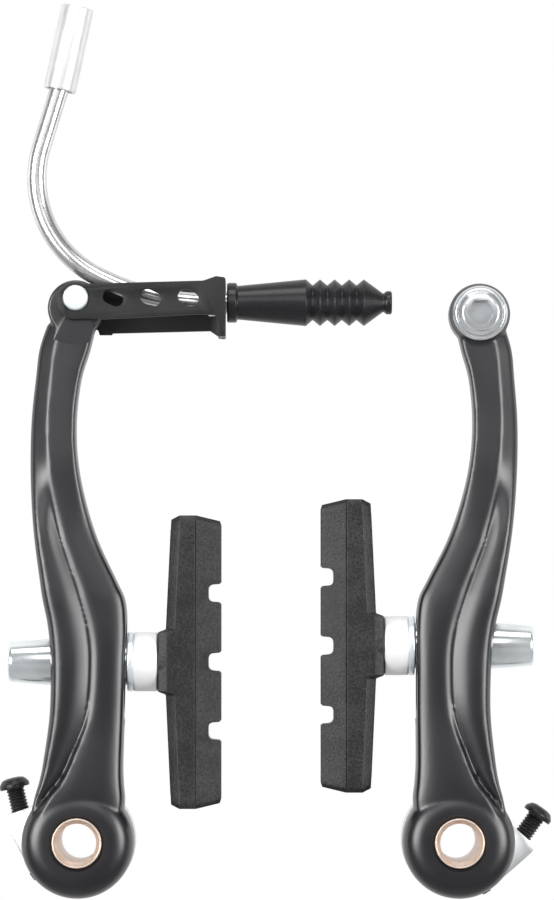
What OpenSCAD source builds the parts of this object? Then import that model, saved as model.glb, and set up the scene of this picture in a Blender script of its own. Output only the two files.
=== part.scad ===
// A pair of linear-pull bicycle brake arms with their pads, noodle, link and boot.
// Millimetres. The two boss axes lie along Y at Z = 0, and the front faces -Y.
// Each arm is drawn in its own frame: u outward from its pivot, v up, y as in the model.

/* [Bosses and pivots] */
// Distance between the two frame bosses
boss_spacing = 80; // [77:0.5:86]
// Radius of the bore that turns on a boss
boss_bore_r = 4.05; // [4:0.01:4.1]
// Outer radius of a pivot sleeve
sleeve_r = 5.2; // [5:0.05:5.4]
// Length of a pivot sleeve, from the boss shoulder to its front end
sleeve_len = 23.9; // [23.6:0.1:26]
// Radius of the counterbore at the front of a sleeve
sleeve_mouth_r = 4.8; // [4.5:0.05:4.9]
// Depth of that counterbore
sleeve_mouth_depth = 1.4; // [0.6:0.1:3]

/* [Arms] */
// Pivot to the cable bolt, along the arm
arm_len = 111; // [108:0.5:116]
// How far the arm bows outward from its pivot line
arm_bow = 12.5; // [12.2:0.1:13]
// Inward lean of the left arm, in degrees
left_lean = 1.7; // [1:0.1:2.4]
// Radius of the eye round the pivot
eye_r = 11.8; // [11.5:0.1:12.4]
// Radius of the rounding at the eye's front corner
eye_round = 5.2; // [3.5:0.1:5.5]
// Thickness of the eye
eye_depth = 14; // [13.5:0.1:14.4]
// Gap between the eye and the spring holder behind it
eye_gap = 0.3; // [0.2:0.05:0.6]
// Width of the bevel round the sleeve at the eye's front
eye_bevel = 0.7; // [0.4:0.05:1]
// Depth of the arm from its middle plane to its front at the slot
arm_half_depth = 7.5; // [7.2:0.1:7.9]
// Depth of the crease between the arm's two lobes
crease_depth = 1.1; // [0.6:0.1:1.8]
// Radius of the right arm's head
right_head_r = 6.45; // [6.2:0.05:6.8]
// Radius of the left arm's head
left_head_r = 5.9; // [5.5:0.05:6]
// Thickness of both heads
head_depth = 8; // [7.4:0.1:8.4]
// Height of the boss under the cable bolt's washer
bolt_boss_h = 1.3; // [0.8:0.1:1.8]
// Radius of that boss
bolt_boss_r = 5.9; // [5.4:0.1:6.1]

/* [Pad slots] */
// Middle height of the pad slot above the pivot
slot_mid = 37; // [36:0.5:38]
// Travel of the pad stud along the slot, each way from the middle
slot_travel = 6; // [5:0.5:6.5]
// Depth of the stud axis behind the arm's front
stud_inset = 8.7; // [8.4:0.1:9]
// Thickness of the wall that the stud passes through
slot_wall = 12; // [11.6:0.1:12.2]
// Height of the left pad's stud above the bosses
left_stud_z = 37.8; // [34:0.1:41]
// Height of the right pad's stud above the bosses
right_stud_z = 41.2; // [36:0.1:42]

/* [Pads] */
// Length of a brake pad
pad_len = 61.5; // [55:0.5:66]
// Depth of a pad from its braking face to its back
pad_depth = 11.2; // [10:0.1:12.5]
// Greatest width of a pad
pad_w = 12.6; // [11.5:0.1:14]
// Width of a pad's braking face
pad_face_w = 9.6; // [8:0.1:11]
// Depth of the edge where the pad's side turns, from the braking face
pad_edge = 5.2; // [4.4:0.1:6]
// Height of the round hub on a pad's back
pad_hub_h = 2.2; // [1.4:0.1:3]
// Radius of that hub
pad_hub_r = 6.3; // [6:0.1:6.6]
// Distance between the notches in the braking face
notch_pitch = 14.5; // [13:0.1:16]
// Width of a notch at the braking face
notch_w = 4.6; // [3.6:0.1:5.4]
// Depth of a notch
notch_depth = 2.7; // [2.2:0.1:3.4]
// Radius of the stud
stud_r = 3; // [2.9:0.05:3.05]

/* [Washers and nuts] */
// Radius of the inner concave washer and of the spacer
washer_r = 6.2; // [5.9:0.05:6.4]
// Radius of the outer concave washer
outer_washer_r = 5.2; // [5.1:0.05:5.3]
// Radius of a convex washer
dome_r = 4.8; // [4.5:0.05:5]
// Thickness of a convex washer at its rim
dome_rim = 0.2; // [0.15:0.05:0.3]
// Thickness of a concave washer at its rim
cup_rim = 1.3; // [1.2:0.05:1.6]
// Thickness of the spacer
spacer_t = 5.05; // [3:0.05:6]
// Length of a cap nut
nut_len = 11; // [10:0.1:13]
// Radius of a cap nut at its seat
nut_base_r = 5.05; // [4.8:0.05:5.1]
// Radius of a cap nut at its end
nut_tip_r = 4.15; // [3.9:0.05:4.4]
// Width across the flats of the hexagon sockets
key_af = 5; // [4:0.1:5.2]

/* [Noodle and link] */
// Outer diameter of the noodle tube
noodle_d = 4.1; // [4:0.05:4.2]
// Bore of the noodle tube
noodle_bore_d = 2.6; // [2.4:0.05:2.8]
// Bore of the liner inside the tube
liner_bore_d = 2; // [1.8:0.05:2.1]
// Radius of the noodle's tight bend
noodle_r = 23.2; // [22.8:0.1:25]
// Angle of the tight bend, in degrees
noodle_turn = 79; // [70:0.5:82]
// Gap between the noodle and the left arm's head that it passes over
noodle_gap = 0.25; // [0.2:0.05:1]
// Angle of the slow bend, in degrees
noodle_slow_turn = 28; // [26:0.5:29]
// Straight part between the tight bend and the ferrule
noodle_rise = 12.4; // [8:0.1:16]
// Length of the ferrule
ferrule_len = 18.1; // [16:0.1:22]
// Outer diameter of the ferrule
ferrule_d = 6.9; // [6.6:0.1:7.6]
// Diameter of the cable housing that the ferrule takes
housing_d = 5; // [4:0.1:5.2]
// Thickness of the link's sheet
link_t = 1.2; // [1:0.05:1.4]
// Distance from the rivet to the outer face of the link's end wall
link_len = 31.5; // [31:0.1:33]
// Radius of the link's round end
link_end_r = 3.85; // [3.7:0.05:4.2]
// Length of an oval window in the link
window_len = 4.5; // [3.5:0.1:5]
// Width of an oval window in the link
window_w = 3.1; // [2.4:0.1:3.4]
// Width of the slot that lets the cable out of the end wall
keyhole_w = 2.2; // [1.9:0.1:2.6]
// Radius of the rivet's shank
rivet_r = 2.2; // [2:0.05:2.3]
// Radius of the rivet's heads
rivet_head_r = 2.75; // [2.6:0.05:3]

/* [Boot] */
// Length of the boot
boot_len = 34.8; // [32:0.1:37]
// Greatest radius of the boot
boot_r = 4.95; // [4.5:0.05:5.2]
// Wall of the boot
boot_wall = 1.1; // [0.9:0.05:1.2]
// Number of folds in the boot
boot_folds = 4; // [3:1:5]

/* [Spring holders] */
// Radius of the round part of a spring holder
holder_r = 11.8; // [11.4:0.1:12.2]
// Thickness of a spring holder
holder_depth = 9.2; // [8.8:0.1:9.4]
// Turn of the right holder against the left one, in degrees
holder_turn = 22; // [10:0.5:25]
// Diameter of the spring wire
wire_d = 1.9; // [1.6:0.1:2]
// Turns in a return spring
spring_turns = 2; // [1.5:0.5:2]
// Height of the peg on the arm that takes the spring's long leg
peg_v = 60; // [58:0.5:62]
// Radius of the stopper pin
stopper_r = 1.2; // [1:0.05:1.4]
// How far the stopper pin stands out behind the holder
stopper_out = 5.5; // [4:0.1:6]
// Diameter of the tension screw's thread
screw_d = 4; // [3.5:0.1:4.2]
// Radius of the tension screw's head
screw_head_r = 3.2; // [3:0.05:3.5]
// Height of the tension screw's head
screw_head_h = 2.3; // [2:0.1:2.8]

/* [Hidden] */

// Shared clearances and overruns
over = 1;              // overrun of every cut past the face it leaves
run_gap = 0.04;        // radial gap of a turning fit
slip_gap = 0.1;        // gap between faces that slide or pass
round_fn = 96;         // segments of a full circle

// The two sides: -1 is the left arm, 1 is the right arm
LEFT = -1;
RIGHT = 1;

// Depths, measured back from the arm's front
eye_back = -holder_depth - eye_gap;
eye_front = eye_back - eye_depth;
arm_mid = eye_front + arm_half_depth + eye_bevel;
arm_front = arm_mid - arm_half_depth;
stud_y = arm_front + stud_inset;
head_mid = arm_mid;

// Outline of the forging, one row for each station: height as a share of arm_len, then the
// inner edge, the outer edge and the crease as shares of arm_bow, then the front and the back
// as shares of arm_half_depth
arm_shares = [
    [-0.030, -0.520, 0.560, 0.520, 1.06, 0.62],
    [0.030, -0.700, 0.790, 0.750, 1.07, 0.63],
    [0.077, -0.764, 0.749, 0.580, 1.08, 0.64],
    [0.112, -0.734, 0.672, 0.350, 1.065, 0.66],
    [0.153, -0.713, 0.612, 0.176, 1.04, 0.68],
    [0.243, -0.713, 0.530, -0.105, 1.00, 0.84],
    [0.342, -0.713, 0.545, -0.155, 1.00, 0.90],
    [0.405, -0.713, 0.606, -0.085, 0.99, 0.90],
    [0.458, -0.665, 0.714, 0.056, 0.98, 0.88],
    [0.496, -0.510, 0.774, 0.176, 0.95, 0.85],
    [0.572, -0.172, 0.884, 0.432, 0.88, 0.77],
    [0.649, 0.064, 0.960, 0.600, 0.80, 0.70],
    [0.724, 0.208, 1.000, 0.690, 0.73, 0.64],
    [0.801, 0.250, 1.000, 0.725, 0.67, 0.60],
    [0.877, 0.191, 0.951, 0.690, 0.63, 0.57],
    [0.932, 0.060, 0.905, 0.640, 0.60, 0.55],
    [0.980, -0.030, 0.780, 0.540, 0.58, 0.54]
];

// Front of the section across a lobe: share of the lobe's width, share of the front's height.
// The low form has two round lobes, the high form a flat front with one slanting side.
inner_low_shares = [[0, 0.48], [0.03, 0.64], [0.09, 0.79], [0.17, 0.89], [0.27, 0.95],
    [0.42, 0.985], [0.60, 1], [0.80, 0.99], [0.93, 0.955]];
inner_high_shares = [[0, 0.60], [0.03, 0.80], [0.06, 0.90], [0.11, 0.955], [0.20, 0.985],
    [0.38, 1], [0.58, 1], [0.80, 0.995], [0.93, 0.98]];
outer_low_shares = [[0.10, 0.915], [0.26, 0.95], [0.44, 0.985], [0.62, 1], [0.78, 0.975],
    [0.90, 0.89], [0.97, 0.76], [1, 0.61]];
outer_high_shares = [[0.10, 0.955], [0.26, 0.90], [0.44, 0.84], [0.62, 0.77], [0.78, 0.70],
    [0.90, 0.61], [0.97, 0.47], [1, 0.28]];
// Heights between which the low form turns into the high one, as shares of arm_len
form_change_shares = [0.45, 0.72];
// Heights over which the crease runs in at the foot, as shares of arm_len
crease_start_shares = [0.02, 0.15];
// Share of the crease's depth that is left near the head
crease_high_share = 0.25;
// Back of the section: share of the width in from an edge, share of the back's depth
back_shares = [[0, 0.86], [0.07, 0.97], [0.30, 1]];
steps = 2;             // stations between two rows of the outline

function smooth(t) = let (c = min(1, max(0, t))) c * c * (3 - 2 * c);
function mix(a, b, t) = a + (b - a) * t;
function spline(a, b, c, d, t) =
    0.5 * (2 * b + (c - a) * t + (2 * a - 5 * b + 4 * c - d) * t * t + (3 * b - a - 3 * c + d) * t * t * t);
function row(i) = arm_shares[min(len(arm_shares) - 1, max(0, i))];
function station(i, t) = spline(row(i - 1), row(i), row(i + 1), row(i + 2), t);
arm_stations = concat(
    [for (i = [0 : len(arm_shares) - 2]) for (k = [0 : steps - 1]) station(i, k / steps)],
    [row(len(arm_shares) - 1)]);

// One closed section of the arm at a station
function arm_section(s) =
    let (
        form = smooth((s[0] - form_change_shares[0]) / (form_change_shares[1] - form_change_shares[0])),
        run_in = smooth((s[0] - crease_start_shares[0]) / (crease_start_shares[1] - crease_start_shares[0])),
        v = s[0] * arm_len, u0 = s[1] * arm_bow, u1 = s[2] * arm_bow,
        uc = min(s[3] * arm_bow, mix(u0, u1, 0.95)),
        front = s[4] * arm_half_depth, back = s[5] * arm_half_depth,
        crease = crease_depth * run_in * mix(1, crease_high_share, form),
        n = len(inner_low_shares)
    )
    concat(
        [for (i = [0 : n - 1])
            [mix(u0, uc, mix(inner_low_shares[i][0], inner_high_shares[i][0], form)),
             arm_mid - front * mix(inner_low_shares[i][1], inner_high_shares[i][1], form), v]],
        [[uc, arm_mid - front + crease, v]],
        [for (i = [0 : len(outer_low_shares) - 1])
            [mix(uc, u1, outer_low_shares[i][0]),
             arm_mid - front * mix(outer_low_shares[i][1], outer_high_shares[i][1], form), v]],
        [for (b = back_shares) [mix(u1, u0, b[0]), arm_mid + back * b[1], v]],
        [for (i = [len(back_shares) - 1 : -1 : 0])
            [mix(u0, u1, back_shares[i][0]), arm_mid + back * back_shares[i][1], v]]
    );

// A closed skin over rings of equal length
module skin(rings) {
    n = len(rings[0]);
    m = len(rings);
    middle = function (ring) [for (k = [0 : 2]) [for (p = ring) 1] * [for (p = ring) p[k]] / len(ring)];
    polyhedron(
        points = concat([for (r = rings) each r], [middle(rings[0]), middle(rings[m - 1])]),
        faces = concat(
            [for (j = [0 : m - 2]) for (i = [0 : n - 1])
                each [[j * n + i, (j + 1) * n + i, (j + 1) * n + (i + 1) % n],
                      [j * n + i, (j + 1) * n + (i + 1) % n, j * n + (i + 1) % n]]],
            [for (i = [0 : n - 1]) [m * n, i, (i + 1) % n]],
            [for (i = [0 : n - 1]) [m * n + 1, (m - 1) * n + (i + 1) % n, (m - 1) * n + i]]));
}

// Places in the arm's frame
bolt_at = [arm_bow * 0.36, arm_len];
left_head_at = [arm_bow * 0.312, arm_len * 1.0105];
rivet_at = [arm_bow * 0.312, arm_len * 1.0288];
seat_skim = 0.12;      // depth of the flat that the inner washer sits on
seat_in = row(6)[1] * arm_bow + seat_skim;
seat_out = seat_in + slot_wall;
ball_at = seat_in + slot_wall / 2;
slot_half_w = stud_r + 0.2 * stud_r;
pocket_gap = 0.45;     // gap round the outer washers for the stud's tilt
peg_r = wire_d * 0.63;
peg_at = [arm_bow * 0.60, peg_v];
peg_out = wire_d * 0.8;

// Puts what is drawn in the arm's frame at its place in the model
module on_arm(side) {
    translate([side * boss_spacing / 2, 0, 0])
        rotate([0, side == LEFT ? left_lean : 0, 0])
            mirror([side == LEFT ? 1 : 0, 0, 0]) children();
}

// The same without the arm's lean, for what is fixed to the boss
module on_boss(side) {
    translate([side * boss_spacing / 2, 0, 0])
        mirror([side == LEFT ? 1 : 0, 0, 0])
            rotate([0, side == RIGHT ? holder_turn : 0, 0]) children();
}

// A cylinder along y from y0 to y1 at (u, v)
module along_y(at, r, y0, y1) {
    translate([at[0], max(y0, y1), at[1]]) rotate([90, 0, 0])
        cylinder(r = r, h = abs(y1 - y0), $fn = round_fn);
}

// A revolved profile whose points are (radius, y)
module turned_y(points) {
    rotate([90, 0, 0]) rotate_extrude($fn = round_fn) polygon([for (p = points) [p[0], -p[1]]]);
}

// A stadium along u: a slot of half width r whose end centres lie travel above and below v
module slot_along_u(v, travel, r, y, u0, u1) {
    for (e = [-1, 1])
        translate([u0, y, v + e * travel]) rotate([0, 90, 0]) cylinder(r = r, h = u1 - u0, $fn = round_fn);
    translate([u0, y - r, v - travel]) cube([u1 - u0, 2 * r, 2 * travel]);
}

// The eye: bored for the sleeve, with a round front corner and a bevel round the bore
module eye_solid() {
    rotate([90, 0, 0]) rotate_extrude($fn = round_fn) {
        translate([0, -eye_back]) square([eye_r - eye_round, eye_depth]);
        translate([0, -eye_back]) square([eye_r, eye_depth - eye_round]);
        translate([eye_r - eye_round, -eye_front - eye_round]) circle(r = eye_round, $fn = round_fn);
    }
}

module eye_cuts() {
    bore = sleeve_r + run_gap;
    along_y([0, 0], bore, eye_back + over, eye_front - over);
    turned_y([[0, eye_front - over], [bore + eye_bevel + over, eye_front - over],
        [bore + eye_bevel, eye_front], [bore, eye_front + eye_bevel], [0, eye_front + eye_bevel]]);
}

// The slot for the pad stud, the flat inside it and the pocket for the outer washers
module slot_cuts() {
    reach = arm_bow;
    slot_along_u(slot_mid, slot_travel, slot_half_w, stud_y, seat_in - over, seat_out + over);
    slot_along_u(slot_mid, slot_travel, washer_r + 2 * slip_gap, stud_y, seat_in - over, seat_in);
    slot_along_u(slot_mid, slot_travel, outer_washer_r + pocket_gap, stud_y, seat_out, seat_out + reach);
}

module arm_blank(head_at, head_r) {
    skin([for (s = arm_stations) arm_section(s)]);
    eye_solid();
    along_y(head_at, head_r, head_mid - head_depth / 2, head_mid + head_depth / 2);
    along_y(peg_at, peg_r, arm_mid, leg_back + peg_out);
}

module left_arm() {
    color("#2a2a2c") on_arm(LEFT) difference() {
        arm_blank(left_head_at, left_head_r);
        eye_cuts();
        slot_cuts();
        along_y(rivet_at, rivet_r, head_mid - head_depth, head_mid + head_depth);
        for (e = [-1, 1])
            along_y(rivet_at, left_head_r + link_end_r,
                head_mid + e * head_depth / 2, head_mid + e * head_depth);
    }
}

module right_arm() {
    color("#2a2a2c") on_arm(RIGHT) difference() {
        union() {
            arm_blank(bolt_at, right_head_r);
            along_y(bolt_at, bolt_boss_r, head_mid, head_mid - head_depth / 2 - bolt_boss_h);
        }
        eye_cuts();
        slot_cuts();
        along_y(bolt_at, stud_r, head_mid - head_depth, head_mid + head_depth);
    }
}

module pivot_sleeve(side) {
    color("#c79a72") on_boss(side) turned_y([[boss_bore_r, 0], [sleeve_r, 0], [sleeve_r, -sleeve_len],
        [sleeve_mouth_r, -sleeve_len], [sleeve_mouth_r, -sleeve_len + sleeve_mouth_depth],
        [boss_bore_r, -sleeve_len + sleeve_mouth_depth + sleeve_mouth_r - boss_bore_r]]);
}

// The spring holder: a cup behind the eye with a lug that carries the tension screw
cup_r = holder_r - wire_d;
cup_floor = holder_depth * 0.283;
lug_depth = holder_depth * 0.913;
lug_shares = [[0.55, 0.62], [0.865, 0.60], [1.34, 0.43], [1.315, 0.29], [0.95, -0.43],
    [0.85, -0.58], [0.5, -0.6]];
screw_tilt = 13.5;
screw_top = [holder_r * 1.08, holder_r * 0.523];
screw_grip = screw_d * 0.75;
screw_show = screw_d * 1.225;
screw_hole = screw_d * 1.75;
screw_key_af = screw_d * 0.625;
short_leg_angle = -38;
coil_r = sleeve_r + wire_d * 1.15;
coil_back = -cup_floor - slip_gap - wire_d / 2;
coil_pitch = wire_d + slip_gap;
leg_y = coil_back - spring_turns * coil_pitch;

module on_screw() {
    translate([screw_top[0], -lug_depth / 2, screw_top[1]]) rotate([0, screw_tilt, 0]) children();
}

module spring_holder(side) {
    color("#c9ccd0") on_boss(side) difference() {
        union() {
            along_y([0, 0], holder_r, 0, -holder_depth);
            rotate([90, 0, 0]) linear_extrude(lug_depth) polygon(holder_r * lug_shares);
        }
        along_y([0, 0], sleeve_r + run_gap, over, -holder_depth - over);
        difference() {
            along_y([0, 0], cup_r, -cup_floor, -holder_depth - over);
            along_y([0, 0], sleeve_r + wire_d / 2, over, -holder_depth - 2 * over);
        }
        rotate([0, side == RIGHT ? -holder_turn : 0, 0])
            translate([-holder_r * 0.28, -holder_depth - over, holder_r * 0.45])
                cube([holder_r * 0.78, holder_depth + over - cup_floor - wire_d, holder_r]);
        rotate([0, -short_leg_angle, 0]) translate([sleeve_r + wire_d, coil_back, 0])
            rotate([0, 90, 0]) cylinder(d = wire_d + 2 * slip_gap, h = 2 * holder_r, $fn = round_fn);
        on_screw() translate([0, 0, -screw_hole])
            cylinder(d = screw_d + 2 * run_gap, h = 2 * screw_hole, $fn = round_fn);
        along_y([0, sleeve_r + wire_d / 2 + stopper_r], stopper_r, over, -cup_floor - over);
    }
}

module stopper_pin(side) {
    color("#8d9096") on_boss(side) translate([0, -cup_floor, sleeve_r + wire_d / 2 + stopper_r])
        rotate([-90, 0, 0]) {
            cylinder(r = stopper_r, h = cup_floor + stopper_out - stopper_r / 2, $fn = round_fn);
            translate([0, 0, cup_floor + stopper_out - stopper_r / 2])
                cylinder(r1 = stopper_r, r2 = stopper_r / 2, h = stopper_r / 2, $fn = round_fn);
        }
}

module tension_screw(side) {
    color("#1d1d1f") on_boss(side) on_screw() difference() {
        translate([0, 0, -screw_grip]) {
            cylinder(d = screw_d, h = screw_grip + screw_show, $fn = round_fn);
            translate([0, 0, screw_grip + screw_show]) intersection() {
                cylinder(r = screw_head_r, h = screw_head_h, $fn = round_fn);
                translate([0, 0, screw_head_h - screw_head_r * 1.25])
                    sphere(r = screw_head_r * 1.25, $fn = round_fn);
            }
        }
        translate([0, 0, screw_show + screw_head_h * 0.4])
            cylinder(d = screw_key_af / cos(30), h = screw_head_h, $fn = 6);
    }
}

// A tube of sides faces swept along points
function unit(a) = a / norm(a);
function tube_rings(path, r, sides, up) = [for (i = [0 : len(path) - 1])
    let (t = unit(path[min(i + 1, len(path) - 1)] - path[max(i - 1, 0)]),
        a = unit(cross(t, up)), b = cross(t, a))
    [for (k = [0 : sides - 1]) path[i] + r * (cos(360 * k / sides) * a + sin(360 * k / sides) * b)]];

// The spring's route: a short radial end, the coil, and a long leg that leaves it straight,
// turns up behind the arm and ends inside the peg
leg_u = peg_at[0] - peg_r - wire_d / 2 - slip_gap;
leg_back = arm_mid + 0.9 * arm_half_depth + wire_d / 2 + 2 * slip_gap;
coil_steps = 12;
leave_angle = 35;
function coil_path(from) = let (n = coil_steps * spring_turns + 3, to = 360 * spring_turns + leave_angle)
    [for (i = [0 : n]) let (a = mix(from, to, i / n))
        [coil_r * cos(a), mix(coil_back, leg_y, i / n), coil_r * sin(a)]];
function on_tangent(t, y) = [coil_r * cos(leave_angle) - t * sin(leave_angle), y,
    coil_r * sin(leave_angle) + t * cos(leave_angle)];
leg_path = [
    on_tangent(coil_r * 0.5, leg_y),
    on_tangent(coil_r, leg_y),
    on_tangent(coil_r * 1.35, mix(leg_y, leg_back, 0.1)),
    [0, mix(leg_y, leg_back, 0.5), holder_r * 1.55],
    [leg_u * 0.12, mix(leg_y, leg_back, 0.9), holder_r * 2],
    [leg_u * 0.3, leg_back, holder_r * 2.4],
    [leg_u * 0.6, leg_back, slot_mid],
    [leg_u * 0.93, leg_back, mix(slot_mid, peg_v, 0.7)],
    [leg_u, leg_back, peg_v + 2 * peg_r]
];
function short_leg(a) = [for (r = [holder_r * 1.1, holder_r, coil_r + wire_d * 0.7])
    [r * cos(a), coil_back, r * sin(a)]];

module return_spring(side) {
    from = short_leg_angle - (side == LEFT ? left_lean : holder_turn);
    color("#2c2d30") on_arm(side)
        skin(tube_rings(concat(short_leg(from), coil_path(from), leg_path), wire_d / 2, 8, [0.05, 1, 0.02]));
}

// Puts what is drawn round the stud's axis at its place: x outward from the ball centre
module on_stud(side) {
    z = side == LEFT ? left_stud_z : right_stud_z;
    lean = side == LEFT ? left_lean : 0;
    shift = z * tan(lean);
    translate([side * (boss_spacing / 2 + ball_at / cos(lean)) + shift, stud_y, z])
        mirror([side == LEFT ? 1 : 0, 0, 0]) children();
}

// The same, turned with the leaning arm, for the washers that lie flat on it
module on_stud_leaning(side) {
    on_stud(side) rotate([0, side == LEFT ? -left_lean : 0, 0]) children();
}

// A revolved profile along x whose points are (x, radius)
module turned_x(points) {
    rotate([0, 90, 0]) rotate([0, 0, 90]) rotate_extrude($fn = round_fn)
        polygon([for (p = points) [p[1], p[0]]]);
}

ball_r = norm([slot_wall / 2 + dome_rim, dome_r]);
dome_hole = stud_r * 1.167;
cup_gap = cup_rim * 0.323;     // gap between the cup's rim and the arm
cup_hole = stud_r + run_gap;
cup_back = slot_wall / 2 + cup_gap + cup_rim;

// A convex washer: flat on the arm, round outside. Out is -1 for the pad's side
module convex_washer(side, out) {
    color("#b9bdc2") on_stud_leaning(side) mirror([out == 1 ? 0 : 1, 0, 0]) intersection() {
        turned_x([[slot_wall / 2, dome_hole], [slot_wall / 2, dome_r], [ball_r, dome_r],
            [ball_r, dome_hole]]);
        sphere(r = ball_r, $fn = round_fn);
    }
}

// A concave washer that rocks on the convex one
module concave_washer(side, out, r) {
    color("#c4cad2") on_stud(side) mirror([out == 1 ? 0 : 1, 0, 0]) difference() {
        turned_x([[slot_wall / 2 + cup_gap, cup_hole], [slot_wall / 2 + cup_gap, r],
            [cup_back, r], [cup_back, cup_hole]]);
        sphere(r = ball_r + run_gap, $fn = round_fn);
    }
}

module spacer_washer(side) {
    color("#e8e8ea") on_stud(side) turned_x([[-cup_back - spacer_t, cup_hole],
        [-cup_back - spacer_t, washer_r], [-cup_back, washer_r], [-cup_back, cup_hole]]);
}

nut_thread = stud_r * 2;
nut_socket = key_af * 0.72;

module cap_nut(side) {
    edge = nut_tip_r * 0.12;
    color("#d5d8dc") on_stud(side) difference() {
        turned_x([[cup_back, 0], [cup_back, nut_base_r], [cup_back + nut_len - edge, nut_tip_r],
            [cup_back + nut_len, nut_tip_r - edge], [cup_back + nut_len, 0]]);
        turned_x([[cup_back - over, 0], [cup_back - over, stud_r + run_gap],
            [cup_back + nut_thread, stud_r + run_gap], [cup_back + nut_thread, 0]]);
        translate([cup_back + nut_len - nut_socket, 0, 0]) rotate([0, 90, 0])
            cylinder(d = key_af / cos(30), h = nut_socket + over, $fn = 6);
    }
}

// The pad: braking face towards the rim, length upright, x outward from the face
pad_face_x = -cup_back - spacer_t - pad_hub_h - pad_depth;
plate_x = pad_depth * 0.60;
plate_r = stud_r * 1.6;
plate_t = pad_depth * 0.12;
notch_round = notch_w * 0.22;
notch_half = notch_w * 0.38;
end_drop_share = 0.02;
back_round = pad_depth * 0.08;

// One notch in the braking face: wide lips, a flat bottom and round corners
module notch() {
    polygon([[-over, -notch_w / 2], [0, -notch_w / 2], [notch_w * 0.08, -notch_w * 0.42],
        [notch_depth - notch_round, -notch_half], [notch_depth - notch_round, notch_half],
        [notch_w * 0.08, notch_w * 0.42], [0, notch_w / 2], [-over, notch_w / 2]]);
    for (e = [-1, 1])
        translate([notch_depth - notch_round, e * (notch_half - notch_round)])
            circle(r = notch_round, $fn = round_fn);
    translate([0, notch_round - notch_half]) square([notch_depth, 2 * (notch_half - notch_round)]);
}

module pad_rubber(side) {
    h = pad_len / 2;
    drop = pad_len * end_drop_share;
    color("#2b2b2c") on_stud(side) translate([pad_face_x, 0, 0]) {
        difference() {
            union() {
                intersection() {
                    translate([0, pad_w, 0]) rotate([90, 0, 0]) linear_extrude(2 * pad_w) polygon([
                        [0, -h + drop], [pad_edge, -h], [pad_depth * 0.94 - back_round, -h],
                        [pad_depth * 0.94, -h + back_round], [pad_depth * 1.035, -pad_hub_r * 1.11],
                        [pad_depth + pad_hub_h * 0.93, -pad_hub_r], [pad_depth + pad_hub_h * 0.93, pad_hub_r],
                        [pad_depth * 1.035, pad_hub_r * 1.11], [pad_depth * 0.94, h - back_round],
                        [pad_depth * 0.94 - back_round, h], [pad_edge, h], [0, h - drop]]);
                    translate([0, 0, -h]) linear_extrude(2 * h) polygon([
                        [0, -pad_face_w / 2], [pad_edge, -pad_w * 0.46], [pad_edge, -pad_w / 2],
                        [pad_depth * 0.8, -pad_w / 2], [pad_depth + pad_hub_h, -pad_w * 0.40],
                        [pad_depth + pad_hub_h, pad_w * 0.40], [pad_depth * 0.8, pad_w / 2],
                        [pad_edge, pad_w / 2], [pad_edge, pad_w * 0.46], [0, pad_face_w / 2]]);
                }
                turned_x([[pad_depth * 0.7, 0], [pad_depth * 0.7, pad_hub_r * 0.9], [pad_depth, pad_hub_r],
                    [pad_depth + pad_hub_h, pad_hub_r * 0.96], [pad_depth + pad_hub_h, 0]]);
            }
            for (i = [-1 : 1])
                translate([0, pad_w, i * notch_pitch]) rotate([90, 0, 0]) linear_extrude(2 * pad_w) notch();
            turned_x([[plate_x, 0], [plate_x, plate_r], [plate_x + plate_t, plate_r],
                [plate_x + plate_t, stud_r], [pad_depth + pad_hub_h + over, stud_r],
                [pad_depth + pad_hub_h + over, 0]]);
        }
    }
}

module pad_stud(side) {
    end = cup_back + nut_thread - slip_gap;
    bevel = stud_r * 0.2;
    color("#a9adb3") on_stud(side) turned_x([[pad_face_x + plate_x, 0], [pad_face_x + plate_x, plate_r],
        [pad_face_x + plate_x + plate_t, plate_r], [pad_face_x + plate_x + plate_t, stud_r],
        [end - bevel, stud_r], [end, stud_r - bevel], [end, 0]]);
}

// The link and what it holds, drawn from the rivet: x towards the other arm, z up
rivet_x = -boss_spacing / 2 - rivet_at[0] * cos(left_lean) + rivet_at[1] * sin(left_lean);
rivet_z = rivet_at[1] * cos(left_lean) + rivet_at[0] * sin(left_lean);
tip_z = -link_end_r * 0.18;
link_in = head_depth / 2 + slip_gap * 2;
link_out = link_in + link_t;
wall_x = link_len - link_t * 1.3;
link_front_shares = [[0.07, 0.094], [0.845, 0.115], [0.857, 0.117], [0.937, 0.145], [0.99, 0.138],
    [1, 0.13], [1, -0.255], [0.975, -0.258], [0.94, -0.13], [0.93, -0.116], [0.84, -0.109],
    [0.19, -0.143], [0, -0.139]];
link_rear_shares = [[0.07, 0.094], [0.845, 0.115], [0.937, 0.145], [1, 0.13], [1, -0.255],
    [0.975, -0.258], [0.895, -0.204], [0.24, -0.220], [0.232, -0.231], [0.15, -0.231], [0.14, -0.200],
    [0.10, -0.180], [0, -0.139]];
wall_shares = [-0.255, 0.13];
window_shares = [0.25, 0.50, 0.752];
window_slant = 25;

module on_link() {
    translate([rivet_x, head_mid, rivet_z]) children();
}

module link_plate(points, y0) {
    translate([0, y0 + link_t, 0]) rotate([90, 0, 0]) linear_extrude(link_t) difference() {
        union() {
            polygon(link_len * points);
            translate([0, tip_z]) circle(r = link_end_r, $fn = round_fn);
        }
        circle(r = rivet_r + run_gap, $fn = round_fn);
    }
}

module link_windows(y0) {
    for (w = window_shares)
        translate([w * link_len, y0 + link_t + over, 0]) rotate([90, 0, 0]) linear_extrude(link_t + 2 * over)
            rotate([0, 0, -window_slant]) {
                for (e = [-1, 1])
                    translate([e * (window_len - window_w) / 2, 0]) circle(d = window_w, $fn = round_fn);
                translate([-(window_len - window_w) / 2, -window_w / 2])
                    square([window_len - window_w, window_w]);
            }
}

nose_r = noodle_d * 0.585;

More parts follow.
